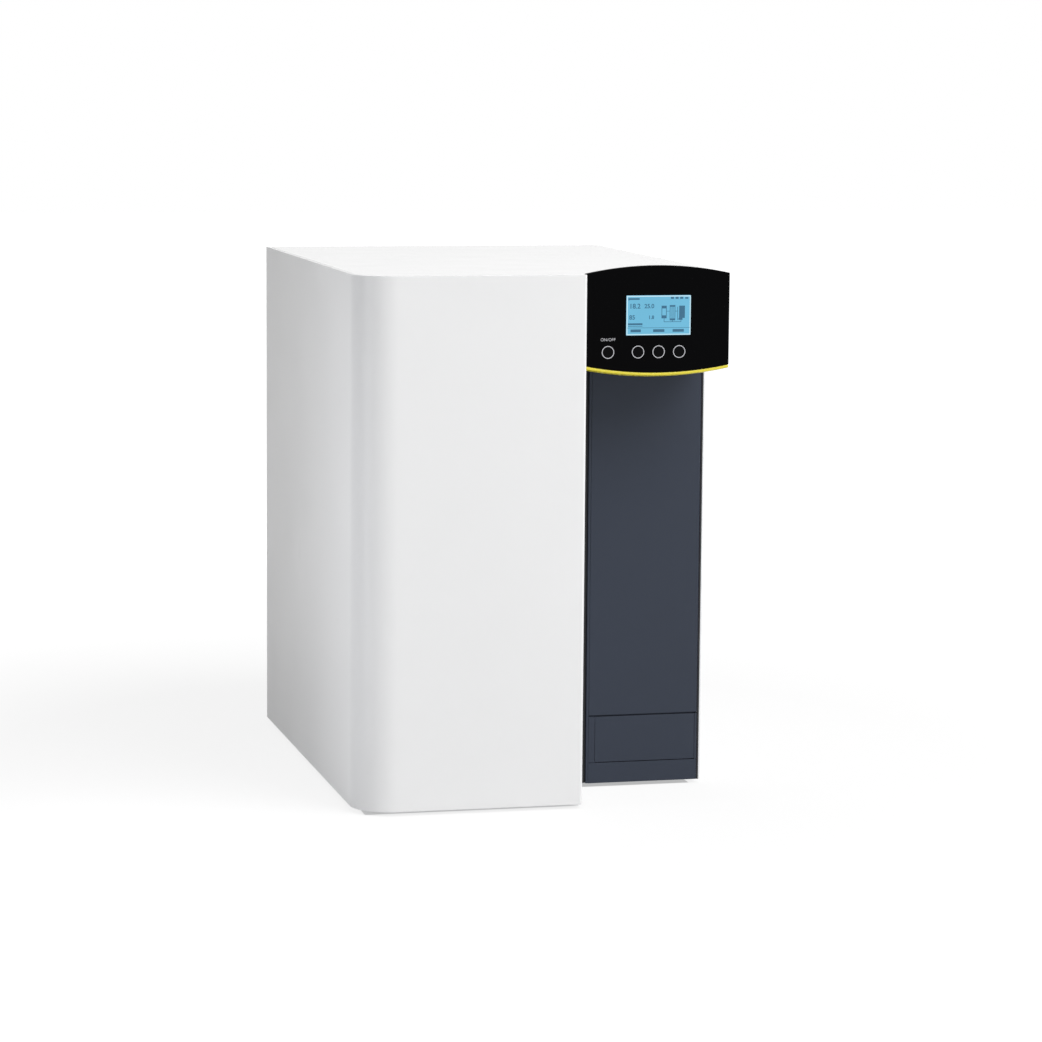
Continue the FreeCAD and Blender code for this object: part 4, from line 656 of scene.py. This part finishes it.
    def world(self, context):
        """White all round where it is seen, and a softer light elsewhere."""
        world = bpy.data.worlds.new("white studio")
        world.use_nodes = True
        tree = world.node_tree
        seen = seen_directly(tree)
        strength = add_node(tree, "ShaderNodeMapRange", {
            "Value": seen, "To Min": self.WORLD_LIGHT, "To Max": 1.0})
        back = tree.nodes["Background"]
        back.inputs["Color"].default_value = (1, 1, 1, 1)
        tree.links.new(strength.outputs["Result"], back.inputs["Strength"])
        context.scene.world = world


def seen_directly(tree):
    """1 where the camera, a reflection or a clear piece shows the surface, else 0."""
    path = add_node(tree, "ShaderNodeLightPath")
    first = add_node(tree, "ShaderNodeMath", {
        0: path.outputs["Is Camera Ray"], 1: path.outputs["Is Glossy Ray"]}, operation="MAXIMUM")
    both = add_node(tree, "ShaderNodeMath", {
        0: first.outputs[0], 1: path.outputs["Is Transmission Ray"]}, operation="MAXIMUM")
    return both.outputs[0]


class WATER_OT_finishes(bpy.types.Operator):
    """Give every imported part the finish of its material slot"""

    bl_idname = "water_system.finishes"
    bl_label = "Finishes"

    def execute(self, context):
        for entry in frame["record"]["subparts"]:
            data = frame["nodes"][entry["node"]].data
            data.materials.clear()
            data.materials.append(finish(entry["material_slot"]))
        return {"FINISHED"}


class WATER_OT_door(bpy.types.Operator):
    """Build the wrap-round door: skin, flange, hinge lugs and inner ribs"""

    bl_idname = "water_system.door"
    bl_label = "Door"

    RIB_HEIGHTS = (60 * MM, 155 * MM, 250 * MM, 345 * MM, 440 * MM)
    FLANGE_REACH = 10 * MM
    FLANGE_TOP = 494 * MM
    LUG_FEET = (12 * MM, 485 * MM)
    LUG_HEIGHT = 9 * MM
    LUG_RADIUS = 3.6 * MM
    LUG_BORE = 1.65 * MM
    RIB_END_FRONT = 30 * MM
    RIB_END_REAR = 215 * MM

    def execute(self, context):
        sizes = context.scene.water_system.shell
        low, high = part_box("door_shell")
        bm = bmesh.new()
        self.wrap(bm, low, (high.x, high.y), 0, sizes.wall, low.z, high.z, sizes)
        round_upright(bm, high.x, low.y, sizes.lead_edge, 6)
        block(bm, (high.x - sizes.wall, low.y + sizes.lead_edge, low.z),
              (high.x, low.y + self.FLANGE_REACH, self.FLANGE_TOP))
        pins_low, pins_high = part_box("hinge_pins")
        axis_x, axis_y = (pins_low.x + pins_high.x) / 2, (pins_low.y + pins_high.y) / 2
        for foot in self.LUG_FEET:
            top = foot + self.LUG_HEIGHT
            ring = [(self.LUG_BORE, foot), (self.LUG_RADIUS, foot), (self.LUG_RADIUS, top),
                    (self.LUG_BORE, top), (self.LUG_BORE, foot)]
            lug = spin(bm, ring, at(axis_x, axis_y, 0), 32)
            # The lug ends flush with the door's rear end
            for vert in lug:
                vert.co.y = min(vert.co.y, high.y)
            block(bm, (low.x + sizes.wall / 2, axis_y - self.LUG_RADIUS, foot),
                  (axis_x - self.LUG_BORE, axis_y, top))
        soften(bm, sizes.rim, 3)
        piece("door_skin", bm, "white_shell", ("door_shell",), body="door")

        ribs = bmesh.new()
        for height in self.RIB_HEIGHTS:
            one = bmesh.new()
            self.wrap(one, low, (self.RIB_END_FRONT, self.RIB_END_REAR), sizes.wall - 0.2 * MM,
                      sizes.wall + sizes.rib_depth, height, height + sizes.rib_thickness, sizes)
            soften(one, 0.4 * MM)
            joined(ribs, one)
        piece("door_ribs", ribs, "white_shell", body="door")
        return {"FINISHED"}

    def wrap(self, bm, corner, ends, outer, inner, low, high, sizes):
        """A wall that follows the door's left side, corner and front, between two offsets."""
        end_x, end_y = ends
        x, y = corner.x, corner.y
        prism(bm, [(x + outer, y + outer), (end_x, y + outer), (end_x, y + inner),
                   (x + inner, y + inner), (x + inner, end_y), (x + outer, end_y)], low, high)
        round_upright(bm, x + outer, y + outer, sizes.corner_radius - outer, CORNER_STEPS)
        round_upright(bm, x + inner, y + inner, sizes.corner_radius - inner, CORNER_STEPS)


class WATER_OT_lid(bpy.types.Operator):
    """Build the white lid that sits inside the door's rim"""

    bl_idname = "water_system.lid"
    bl_label = "Lid"

    def execute(self, context):
        sizes = context.scene.water_system.shell
        low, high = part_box("top_cover")
        step_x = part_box("door_shell")[1].x
        step_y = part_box("head_fascia")[1].y + sizes.seam
        bm = bmesh.new()
        prism(bm, [(low.x, low.y), (step_x, low.y), (step_x, step_y), (high.x, step_y),
                   (high.x, high.y), (low.x, high.y)], low.z, high.z)
        round_upright(bm, low.x, low.y, sizes.corner_radius - sizes.wall - sizes.seam, CORNER_STEPS)
        round_upright(bm, low.x, high.y, sizes.rear_radius, 16)
        soften(bm, sizes.lid_edge, 3)
        piece("lid_moulding", bm, "white_shell", ("top_cover",), finish("white_lid"))
        return {"FINISHED"}


class WATER_OT_column(bpy.types.Operator):
    """Build the painted side panel and the dark column with its flap and pocket"""

    bl_idname = "water_system.column"
    bl_label = "Column and side"

    # Width of the dark strip that stands in for the shade in the column's left joint: painted shade
    LEFT_SHADE_STRIP = 6 * MM
    RETURN_WIDTH = 2.4 * MM
    GROOVE = 0.8 * MM
    GROOVE_DEPTH = 0.9 * MM
    # The right strip, and how the strips stand out and sink: painted shade in the column's joints
    RIGHT_SHADE_STRIP = 1.4 * MM
    SHADE_STRIP_RISE = 1.2 * MM
    SHADE_STRIP_SUNK = 0.2 * MM
    FOLD_RADIUS = 0.3 * MM
    OVERLAP = 0.05 * MM

    def execute(self, context):
        edge = context.scene.water_system.shell.panel_edge
        rows = (
            ("side_cover", "right_side_panel", "white_steel", edge),
            ("column_front", "column_cover", "column_dark", edge),
            ("flap_leaf", "service_flap", "column_dark", edge * 0.6, "flap"),
            ("pocket_tub", "recess_tub", "black_plastic", edge),
            ("service_port", "sanitising_port", "moulded_grey", edge),
        )
        for row in rows:
            moulded_copy(*row)
        self.plinth(edge * 0.6)
        self.returns()
        self.seals()
        return {"FINISHED"}

    def plinth(self, edge):
        """The front below and beside the flap; its lower groove runs right across."""
        low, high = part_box("column_plinth")
        flap_low, flap_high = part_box("service_flap")
        foot = flap_low.z - self.GROOVE
        saw = bmesh.new()
        for left, right in ((low.x - 1 * MM, flap_low.x), (flap_high.x, high.x + 1 * MM)):
            block(saw, (left, low.y - 1 * MM, foot), (right, low.y + self.GROOVE_DEPTH, flap_low.z))
        front = carved(merged_copy("column_plinth"), saw)
        soften(front, edge)
        piece("plinth_front", front, "column_dark", ("column_plinth",))

    def returns(self):
        """The folded left edge of the column's front, from the plinth to the head."""
        cover_low, cover_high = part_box("column_cover")
        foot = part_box("column_plinth")[0].z
        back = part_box("column_frame")[0].y
        fold = ((cover_low.x - self.RETURN_WIDTH, cover_low.y + self.FOLD_RADIUS, foot),
                (cover_low.x + self.OVERLAP, back, cover_high.z))
        blocks("column_return", "column_dark", [fold], self.FOLD_RADIUS)

    def seals(self):
        """Black strips in the rubber finish in the joints on both sides of the column: dark pieces that
        stand in for the shade in those gaps, as painted shade.
        """
        frame_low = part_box("column_frame")[0]
        cover_low, cover_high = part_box("column_cover")
        side_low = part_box("right_side_panel")[0]
        sunk = self.SHADE_STRIP_SUNK
        left = ((cover_low.x - self.LEFT_SHADE_STRIP, frame_low.y - self.SHADE_STRIP_RISE, frame_low.z + 1 * MM),
                (cover_low.x - self.RETURN_WIDTH - sunk, frame_low.y + sunk, cover_high.z))
        right = ((side_low.x - sunk, side_low.y - self.SHADE_STRIP_RISE / 2, side_low.z),
                 (side_low.x + self.RIGHT_SHADE_STRIP, side_low.y + sunk, cover_high.z))
        blocks("column_shade_strips", "rubber", [left, right], 0.25 * MM)


class WATER_OT_head(bpy.types.Operator):
    """Build the display head: fascia, shell and accent strip"""

    bl_idname = "water_system.head"
    bl_label = "Display head"

    TAPER_DEPTH = 6 * MM
    TAPER_RISE = 1.5 * MM
    STRIP_EDGE = 0.9 * MM

    def execute(self, context):
        edge = context.scene.water_system.head.edge
        moulded_copy("fascia_panel", "head_fascia", "fascia_gloss", edge)
        moulded_copy("head_housing", "head_shell", "head_black", edge)
        self.accent_bar()
        return {"FINISHED"}

    def accent_bar(self):
        """The strip, with its lower face drawn up so that it tapers under the fascia."""
        bm = merged_copy("accent_strip")
        bm.normal_update()
        under = {vert for face in bm.faces if face.normal.z < -0.5 for vert in face.verts}
        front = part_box("accent_strip")[0].y
        for vert in under:
            if vert.co.y < front + self.TAPER_DEPTH:
                vert.co.z += self.TAPER_RISE
        soften(bm, self.STRIP_EDGE)
        piece("accent_bar", bm, "accent_yellow", ("accent_strip",))


class WATER_OT_display(bpy.types.Operator):
    """Build the lit display with its figures"""

    bl_idname = "water_system.display"
    bl_label = "Display"

    GLASS_LEFT = 79.5 * MM
    GLASS_RIGHT = 142 * MM
    GLASS_LOW = 447 * MM
    GLASS_HIGH = 484 * MM
    GLASS_PROUD = 0.04 * MM

    def execute(self, context):
        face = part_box("lcd_module")[0].y
        front = face - self.GLASS_PROUD
        glass = ((self.GLASS_LEFT, front, self.GLASS_LOW),
                 (self.GLASS_RIGHT, face + 0.4 * MM, self.GLASS_HIGH))
        blocks("display_glass", "display", [glass], 0.15 * MM)
        self.figures(front)
        return {"FINISHED"}

    def figures(self, face):
        """Bars, a tank, two vessels and a module, as on a process display."""
        left, top = self.GLASS_LEFT, self.GLASS_HIGH
        depth = 0.06 * MM
        # From the glass's top left corner: across, down, width, height
        marks = [
            (1.5, 2.2, 11, 1.6), (43, 1.2, 3, 2), (47.5, 1.2, 3, 2), (52, 1.2, 3, 2), (57, 1.6, 3, 1.6),
            (1.5, 3.9, 1.2, 0.4), (1.5, 28.4, 14, 0.5), (1.5, 25.8, 14, 1.7),
            (4, 31.6, 10, 2.6), (26, 31.6, 11, 2.6), (45, 31.6, 11, 2.6), (0.6, 30, 61.3, 0.35),
            (34, 9.5, 5, 2.6), (34, 18.6, 5, 2.8), (34, 12.1, 0.6, 6.5), (38.4, 12.1, 0.6, 6.5),
            (42, 9, 5.4, 1.6), (42, 21.6, 5.4, 1.8), (42, 10.6, 0.6, 11), (46.8, 10.6, 0.6, 11),
            (43.6, 10.6, 0.3, 11), (44.6, 10.6, 0.3, 11), (45.6, 10.6, 0.3, 11),
            (49.4, 10.6, 0.5, 12.6), (51.2, 9.6, 5.6, 11.6), (50.6, 21.2, 4, 1.8),
            (36.3, 24.4, 17, 0.5), (36.3, 21.4, 0.5, 3), (44.5, 23.4, 0.5, 1.2), (52.8, 23, 0.5, 1.6),
            (39, 14.5, 3, 0.4), (47.4, 14.5, 2, 0.4),
        ]
        boxes = [((left + across * MM, face - depth, top - (down + tall) * MM),
                  (left + (across + wide) * MM, face + depth, top - down * MM))
                 for across, down, wide, tall in marks]
        blocks("display_marks", "display", boxes, material=finish("display_ink"))
        wide, tall = self.GLASS_RIGHT - left, top - self.GLASS_LOW
        edge = 1 * MM
        sides = ((0, 0, edge, tall), (wide - edge, 0, wide, tall),
                 (edge, 0, wide - edge, edge), (edge, tall - edge, wide - edge, tall))
        border = [((left + start, face - depth / 2, self.GLASS_LOW + low),
                   (left + end, face + depth / 2, self.GLASS_LOW + high))
                  for start, low, end, high in sides]
        blocks("display_border", "display", border, material=finish("display_edge"))
        rows = (
            ("flow_number", "18.2", 6.4, 8, 10), ("degree_number", "25.0", 5.6, 22, 10),
            ("tank_number", "85", 5.8, 5.4, 20.5), ("rate_number", "1.8", 4.6, 24, 20.5),
        )
        for name, text, height, across, down in rows:
            place = at(left + across * MM, face - depth, top - down * MM, TO_FRONT)
            lettering(name, text, height * MM, place, "display", finish("display_ink"), 0.12 * MM)


class WATER_OT_keys(bpy.types.Operator):
    """Build the four push keys with their printed rings"""

    bl_idname = "water_system.keys"
    bl_label = "Keys"

    KEYS = ("standby", "left", "middle", "right")
    CAP_EDGE = 0.3 * MM
    PRINT_RISE = 4.4 * MM

    def execute(self, context):
        sizes = context.scene.water_system.head
        for key in self.KEYS:
            node, body = "key_" + key, key + "_key"
            low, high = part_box(node)
            middle = (low + high) / 2
            place = at(middle.x, low.y, middle.z, TO_FRONT)
            moulded_copy(node + "_cap", node, "key_black", self.CAP_EDGE, body)
            outer, inner = sizes.ring_radius, sizes.ring_radius - sizes.ring_width
            depth = sizes.print_depth
            ring = bmesh.new()
            spin(ring, [(inner, -depth), (outer, -depth), (outer, depth), (inner, depth),
                        (inner, -depth)], place, 48)
            piece(node + "_ring", ring, "key_black", material=finish("panel_print"), body=body)
        low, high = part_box("key_standby")
        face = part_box("head_fascia")[0].y
        place = at((low.x + high.x) / 2, face, high.z + self.PRINT_RISE, TO_FRONT)
        lettering("on_off_print", "ON/OFF", sizes.letter_height, place, "fascia_gloss",
                  finish("panel_print"))
        return {"FINISHED"}


class WATER_OT_cartridges(bpy.types.Operator):
    """Build the two treatment cartridges with their grip ribs"""

    bl_idname = "water_system.cartridges"
    bl_label = "Cartridges"

    RADIUS = 50 * MM
    SHOULDER = 306 * MM
    RIBS = 36
    RIB_FOOT, RIB_TOP = 311 * MM, 322 * MM
    RIB_HALF, RIB_RISE, RIB_SUNK = 1.4 * MM, 0.9 * MM, 0.5 * MM

    def execute(self, context):
        rows = (
            ("pretreatment_cartridge", "pretreatment", "pretreatment_can"),
            ("polishing_cartridge", "polisher", "polishing_can"),
        )
        for node, body, name in rows:
            low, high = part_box(node)
            centre = (low + high) / 2
            bm = merged_copy(node)
            soften(bm, 1.2 * MM, 3)
            self.ribs(bm, centre, low.z)
            can = piece(name, bm, "cartridge_white", (node,), body=body)
            can.data.materials.append(finish("moulded_grey"))
            shoulder = low.z + self.SHOULDER
            for polygon in can.data.polygons:
                polygon.material_index = 1 if polygon.center.z > shoulder else 0
        return {"FINISHED"}

    def ribs(self, bm, centre, foot):
        """Upright grip ribs round the top collar."""
        for index in range(self.RIBS):
            turn = Matrix.Rotation(math.tau * index / self.RIBS, 4, "Z")
            place = at(centre.x, centre.y, foot, turn)
            rib = block(bm, (self.RADIUS - self.RIB_SUNK, -self.RIB_HALF, self.RIB_FOOT),
                        (self.RADIUS + self.RIB_RISE, self.RIB_HALF, self.RIB_TOP))
            bmesh.ops.transform(bm, matrix=place, verts=rib)


class WATER_OT_bay(bpy.types.Operator):
    """Round the edges of what the open door shows, and of the machinery behind it"""

    bl_idname = "water_system.bay"
    bl_label = "Bay and machinery"

    SPIGOT_PITCH = 22 * MM

    def execute(self, context):
        rows = (
            ("catch_cases", "door_catches", "magnet_black", 0.8),
            ("striker_plates", "door_strikers", "bright_steel", 0.5, "door"),
            ("first_socket", "pretreatment_socket", "moulded_grey", 0.8),
            ("second_socket", "polishing_socket", "moulded_grey", 0.8),
            ("vessel_tube", "ro_vessel", "vessel_white", 0.6),
            ("vessel_caps", "ro_caps", "moulded_grey", 1.0),
            ("clip_rings", "vessel_clips", "black_plastic", 0.8),
            ("leak_probe", "leak_sensor", "black_plastic", 0.8),
            ("cell_bodies", "conductivity_cells", "black_plastic", 0.6),
            ("inlet_solenoid", "inlet_valve", "black_plastic", 0.8),
            ("flush_solenoid", "flush_valve", "black_plastic", 0.8),
            ("regulator_can", "pressure_regulator", "cast_brass", 0.8),
            ("pump_casting", "pump_head", "cast_brass", 0.8),
            ("motor_can", "pump_motor", "motor_enamel", 1.6),
            ("motor_cradle", "pump_bracket", "galvanised_steel", 0.4),
            ("lamp_housing", "uv_housing", "stainless", 0.5),
            ("lamp_caps", "uv_caps", "black_plastic", 0.8),
            ("supply_case", "power_supply", "galvanised_steel", 0.5),
            ("foot_pads", "rubber_feet", "rubber", 1.2),
        )
        for name, node, slot, radius, *body in rows:
            moulded_copy(name, node, slot, radius * MM, *body)
        self.tube_rings()
        return {"FINISHED"}

    def tube_rings(self):
        """The rings that grip the tubes on top of the two sockets and the membrane vessel."""
        rings = bmesh.new()
        for node in ("pretreatment_socket", "ro_caps", "polishing_socket"):
            low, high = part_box(node)
            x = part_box("ro_vessel")[0].lerp(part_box("ro_vessel")[1], 0.5).x
            y = (low.y + high.y) / 2
            for across in (0, self.SPIGOT_PITCH):
                place = at(x + across, y, high.z)
                spin(rings, in_mm((4.05, -1), (5.2, -1), (5.2, 0.3), (6, 0.3), (6, 1.3), (5.6, 1.7),
                                  (4.05, 1.7), (4.05, -1)), place, 32)
        piece("tube_rings", rings, "black_plastic")


class WATER_OT_board(bpy.types.Operator):
    """Build the controller board with its chips, pillars, capacitors and plug header"""

    bl_idname = "water_system.board"
    bl_label = "Controller board"

    STANDOFF = 6 * MM
    THICKNESS = 1.6 * MM
    # Places of the capacitors along the board in mm, and how far they stand under its top
    CAPACITORS = (26, 44, 62, 80)
    CAPACITOR_DROP = 14 * MM
    HEADER_INSET, HEADER_DEPTH = 30 * MM, 6.5 * MM
    HEADER_FOOT, HEADER_TOP = 5 * MM, 12 * MM

    def execute(self, context):
        low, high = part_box("controller_board")
        face = low.x + self.STANDOFF + self.THICKNESS
        board = moulded_copy("controller_and_chips", "controller_board", "circuit_board", 0.2 * MM)
        for slot in ("black_plastic", "bright_steel"):
            board.data.materials.append(finish(slot))
        for polygon in board.data.polygons:
            across = polygon.center.x
            if across > face + 0.1 * MM:
                polygon.material_index = 1
            elif across < low.x + self.STANDOFF - 0.1 * MM:
                polygon.material_index = 2
        cans = bmesh.new()
        for along in self.CAPACITORS:
            spot = at(face, low.y + along * MM, high.z - self.CAPACITOR_DROP, TO_RIGHT)
            spin(cans, in_mm((0, 0), (5, 0), (5, 0.8), (4.6, 1.2), (5, 1.6), (5, 6.2), (4.5, 6.7), (0, 6.7)),
                 spot, 24)
        piece("board_capacitors", cans, "motor_enamel")
        header = ((face, low.y + self.HEADER_INSET, low.z + self.HEADER_FOOT),
                  (face + self.HEADER_DEPTH, high.y - self.HEADER_INSET, low.z + self.HEADER_TOP))
        blocks("board_header", "cartridge_white", [header], 0.4 * MM)
        return {"FINISHED"}


class WATER_OT_rear(bpy.types.Operator):
    """Build the rear fittings: water ports, screws, rivet nuts and the data connector"""

    bl_idname = "water_system.rear"
    bl_label = "Rear fittings"

    PIN_PITCH = 2.77 * MM
    ROW_PITCH = 2.84 * MM
    POST_OFFSET = 18.6 * MM
    D_HALF, D_RISE, D_WALL = 14.6 * MM, 5.6 * MM, 0.7 * MM
    FLANGE = 1 * MM
    D_CORNER = 1.6 * MM
    D_SLANT = 1.6 * MM

    def execute(self, context):
        moulded_copy("rivet_nuts", "wall_nuts", "bright_steel", 0.25 * MM)
        self.ports()
        self.screws()
        self.connector()
        return {"FINISHED"}

    def ports(self):
        """Push-fit ports, each with the ring that is pressed to let its tube go."""
        moulded_copy("port_bodies", "water_ports", "moulded_grey", 0.5 * MM)
        rings = bmesh.new()
        for low, high in loose_boxes("water_ports"):
            middle = (low + high) / 2
            place = at(middle.x, high.y, middle.z, TO_BACK)
            spin(rings, in_mm((4.05, -4), (5.2, -4), (5.2, 0.2), (6.1, 0.2), (6.1, 1.2), (5.7, 1.6),
                              (4.45, 1.6), (4.05, 1.2), (4.05, -4)), place, 40)
        piece("port_release_rings", rings, "black_plastic")

    def screws(self):
        """Pan-head screws with a cross recess."""
        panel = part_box("rear_panel")[1].y
        heads, crosses = bmesh.new(), bmesh.new()
        for low, high in loose_boxes("housing_screws"):
            middle = (low + high) / 2
            place = at(middle.x, panel, middle.z, TO_BACK)
            radius, rise, shank = (high.x - low.x) / 2, high.y - panel, (high.x - low.x) / 4
            spin(heads, [(0, low.y - panel), (shank, low.y - panel), (shank, 0), (radius, 0),
                         (radius, rise * 0.35), (radius * 0.9, rise * 0.7), (radius * 0.62, rise * 0.94),
                         (0, rise)], place, 32)
            turned = place @ Matrix.Rotation(middle.z * 90, 4, "Z")
            long, thin = radius * 0.52, 0.38 * MM
            plus = [(-long, -thin), (-thin, -thin), (-thin, -long), (thin, -long),
                    (thin, -thin), (long, -thin), (long, thin), (thin, thin),
                    (thin, long), (-thin, long), (-thin, thin), (-long, thin)]
            cross = prism(crosses, plus, rise * 0.3, rise * 1.5)
            bmesh.ops.transform(crosses, matrix=turned, verts=cross)
        piece("panel_screws", carved(heads, crosses), "bright_steel", ("housing_screws",))

    def connector(self):
        """A fifteen-way data socket: flange, D-shaped shell, insulator, contacts and two posts."""
        low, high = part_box("data_port")
        middle = (low + high) / 2
        place = at(middle.x, 0, middle.z) @ Matrix.Rotation(math.pi, 4, "Z") @ TO_FRONT
        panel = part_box("rear_panel")[1].y
        face = high.y
        metal = bmesh.new()
        block(metal, (low.x, panel, low.z), (high.x, panel + self.FLANGE, high.z))
        soften(metal, 0.3 * MM)
        half, rise, wall = self.D_HALF, self.D_RISE, self.D_WALL
        shell = self.d_shape(half, rise, panel, face, place)
        hollow = self.d_shape(half - wall, rise - wall, panel + 1.1 * MM, face + 2 * MM, place)
        joined(metal, carved(shell, hollow))
        for side in (-1, 1):
            across = middle.x + side * self.POST_OFFSET
            spot = at(across, panel + self.FLANGE, middle.z, TO_BACK)
            spin(metal, in_mm((1.1, 0), (2.6, 0), (2.6, 4.2), (2.2, 4.6), (1.1, 4.6), (1.1, 0)), spot, 6)
        piece("data_shell", metal, "bright_steel", ("data_port",))
        inset = wall + 0.1 * MM
        core = self.d_shape(half - inset, rise - inset, panel + self.FLANGE, face - 0.8 * MM, place)
        soften(core, 0.2 * MM)
        piece("data_insulator", core, "black_plastic")
        contacts = bmesh.new()
        for count, row in ((8, 0.5), (7, -0.5)):
            for index in range(count):
                across = (index - (count - 1) / 2) * self.PIN_PITCH
                spot = at(middle.x + across, face - 0.9 * MM, middle.z + row * self.ROW_PITCH, TO_BACK)
                spin(contacts, in_mm((0.45, 0), (0.8, 0), (0.8, 0.15), (0.45, 0.15), (0.45, 0)), spot, 12)
        piece("data_contacts", contacts, "bright_steel")

    def d_shape(self, half, rise, start, end, place):
        """A slab with the D outline of a data connector, wider above than below."""
        bm = bmesh.new()
        outline = [(-half, rise), (self.D_SLANT - half, -rise), (half - self.D_SLANT, -rise), (half, rise)]
        prism(bm, outline, start, end)
        for x, y in outline:
            round_upright(bm, x, y, self.D_CORNER, 5)
        bmesh.ops.transform(bm, matrix=place, verts=bm.verts)
        return bm


class WATER_OT_mains(bpy.types.Operator):
    """Build the mains module with its metal contacts and marked rocker"""

    bl_idname = "water_system.mains"
    bl_label = "Mains module"

    TILT = math.radians(8)
    CONTACT = (2 * MM, 4 * MM)
    CONTACT_PITCH = 7 * MM
    # How deep the contacts lie in the inlet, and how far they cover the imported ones
    CONTACT_ROOT, CONTACT_TIP, CONTACT_GROWTH = 14.8 * MM, 6 * MM, 0.08 * MM
    CAVITY_MIDDLE = 21.25 * MM
    AXIS_HEIGHT = 51 * MM
    AXIS_DEPTH = 4 * MM
    FACE = 6.5 * MM

    def execute(self, context):
        low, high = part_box("mains_inlet")
        middle = (low.x + high.x) / 2
        moulded_copy("mains_module", "mains_inlet", "black_plastic", 0.5 * MM)
        moulded_copy("rocker_cap", "mains_rocker", "black_plastic", 0.7 * MM, "rocker")
        blades = []
        thick, tall = self.CONTACT
        grow = self.CONTACT_GROWTH
        level = low.z + self.CAVITY_MIDDLE
        for across, up in ((-1, -1), (0, 1), (1, -1)):
            x, z = middle + across * self.CONTACT_PITCH, level + up * tall
            blades.append((
                (x - thick / 2 - grow, high.y - self.CONTACT_ROOT, z - tall / 2 - grow),
                (x + thick / 2 + grow, high.y - self.CONTACT_TIP + grow, z + tall / 2 + grow)))
        blocks("mains_contacts", "bright_steel", blades, 0.3 * MM)
        self.marks(middle, high.y - self.AXIS_DEPTH, low.z + self.AXIS_HEIGHT)
        return {"FINISHED"}

    def marks(self, x, y, z):
        """The line and the circle on the rocker's two ends."""
        place = at(x, y, z, Matrix.Rotation(self.TILT, 4, "X"))
        print_bm = bmesh.new()
        block(print_bm, (-0.45 * MM, self.FACE - 0.05 * MM, 4 * MM),
              (0.45 * MM, self.FACE + 0.05 * MM, 9 * MM))
        bmesh.ops.transform(print_bm, matrix=place, verts=print_bm.verts)
        ring = place @ at(0, self.FACE, -6.5 * MM) @ TO_BACK
        spin(print_bm, in_mm((1.7, -0.05), (2.5, -0.05), (2.5, 0.05), (1.7, 0.05), (1.7, -0.05)), ring, 32)
        piece("rocker_marks", print_bm, "black_plastic", material=finish("panel_print"), body="rocker")


STEPS = (
    WATER_OT_stage,
    WATER_OT_finishes,
    WATER_OT_door,
    WATER_OT_lid,
    WATER_OT_column,
    WATER_OT_head,
    WATER_OT_display,
    WATER_OT_keys,
    WATER_OT_cartridges,
    WATER_OT_bay,
    WATER_OT_board,
    WATER_OT_rear,
    WATER_OT_mains,
)


class WATER_PT_panel(bpy.types.Panel):
    """Sidebar panel with the settings and a button for each group of pieces"""

    bl_idname = "WATER_PT_panel"
    bl_label = "Ultrapure Water System"
    bl_space_type = "VIEW_3D"
    bl_region_type = "UI"
    bl_category = "Water System"

    def draw(self, context):
        settings = context.scene.water_system
        for group in (settings.shell, settings.head, settings.colours):
            box = self.layout.box()
            for name in group.__annotations__:
                box.prop(group, name)
        for step in STEPS:
            self.layout.operator(step.bl_idname)


CLASSES = (ShellSizes, HeadSizes, FinishColours, WaterSystemSettings, *STEPS, WATER_PT_panel)


def register():
    for item in CLASSES:
        bpy.utils.register_class(item)
    bpy.types.Scene.water_system = bpy.props.PointerProperty(type=WaterSystemSettings)


def unregister():
    del bpy.types.Scene.water_system
    for item in reversed(CLASSES):
        bpy.utils.unregister_class(item)


def main():
    """Builds the whole scene."""
    register()
    for step in STEPS:
        group, name = step.bl_idname.split(".")
        getattr(getattr(bpy.ops, group), name)()


if __name__ == "__main__":
    main()
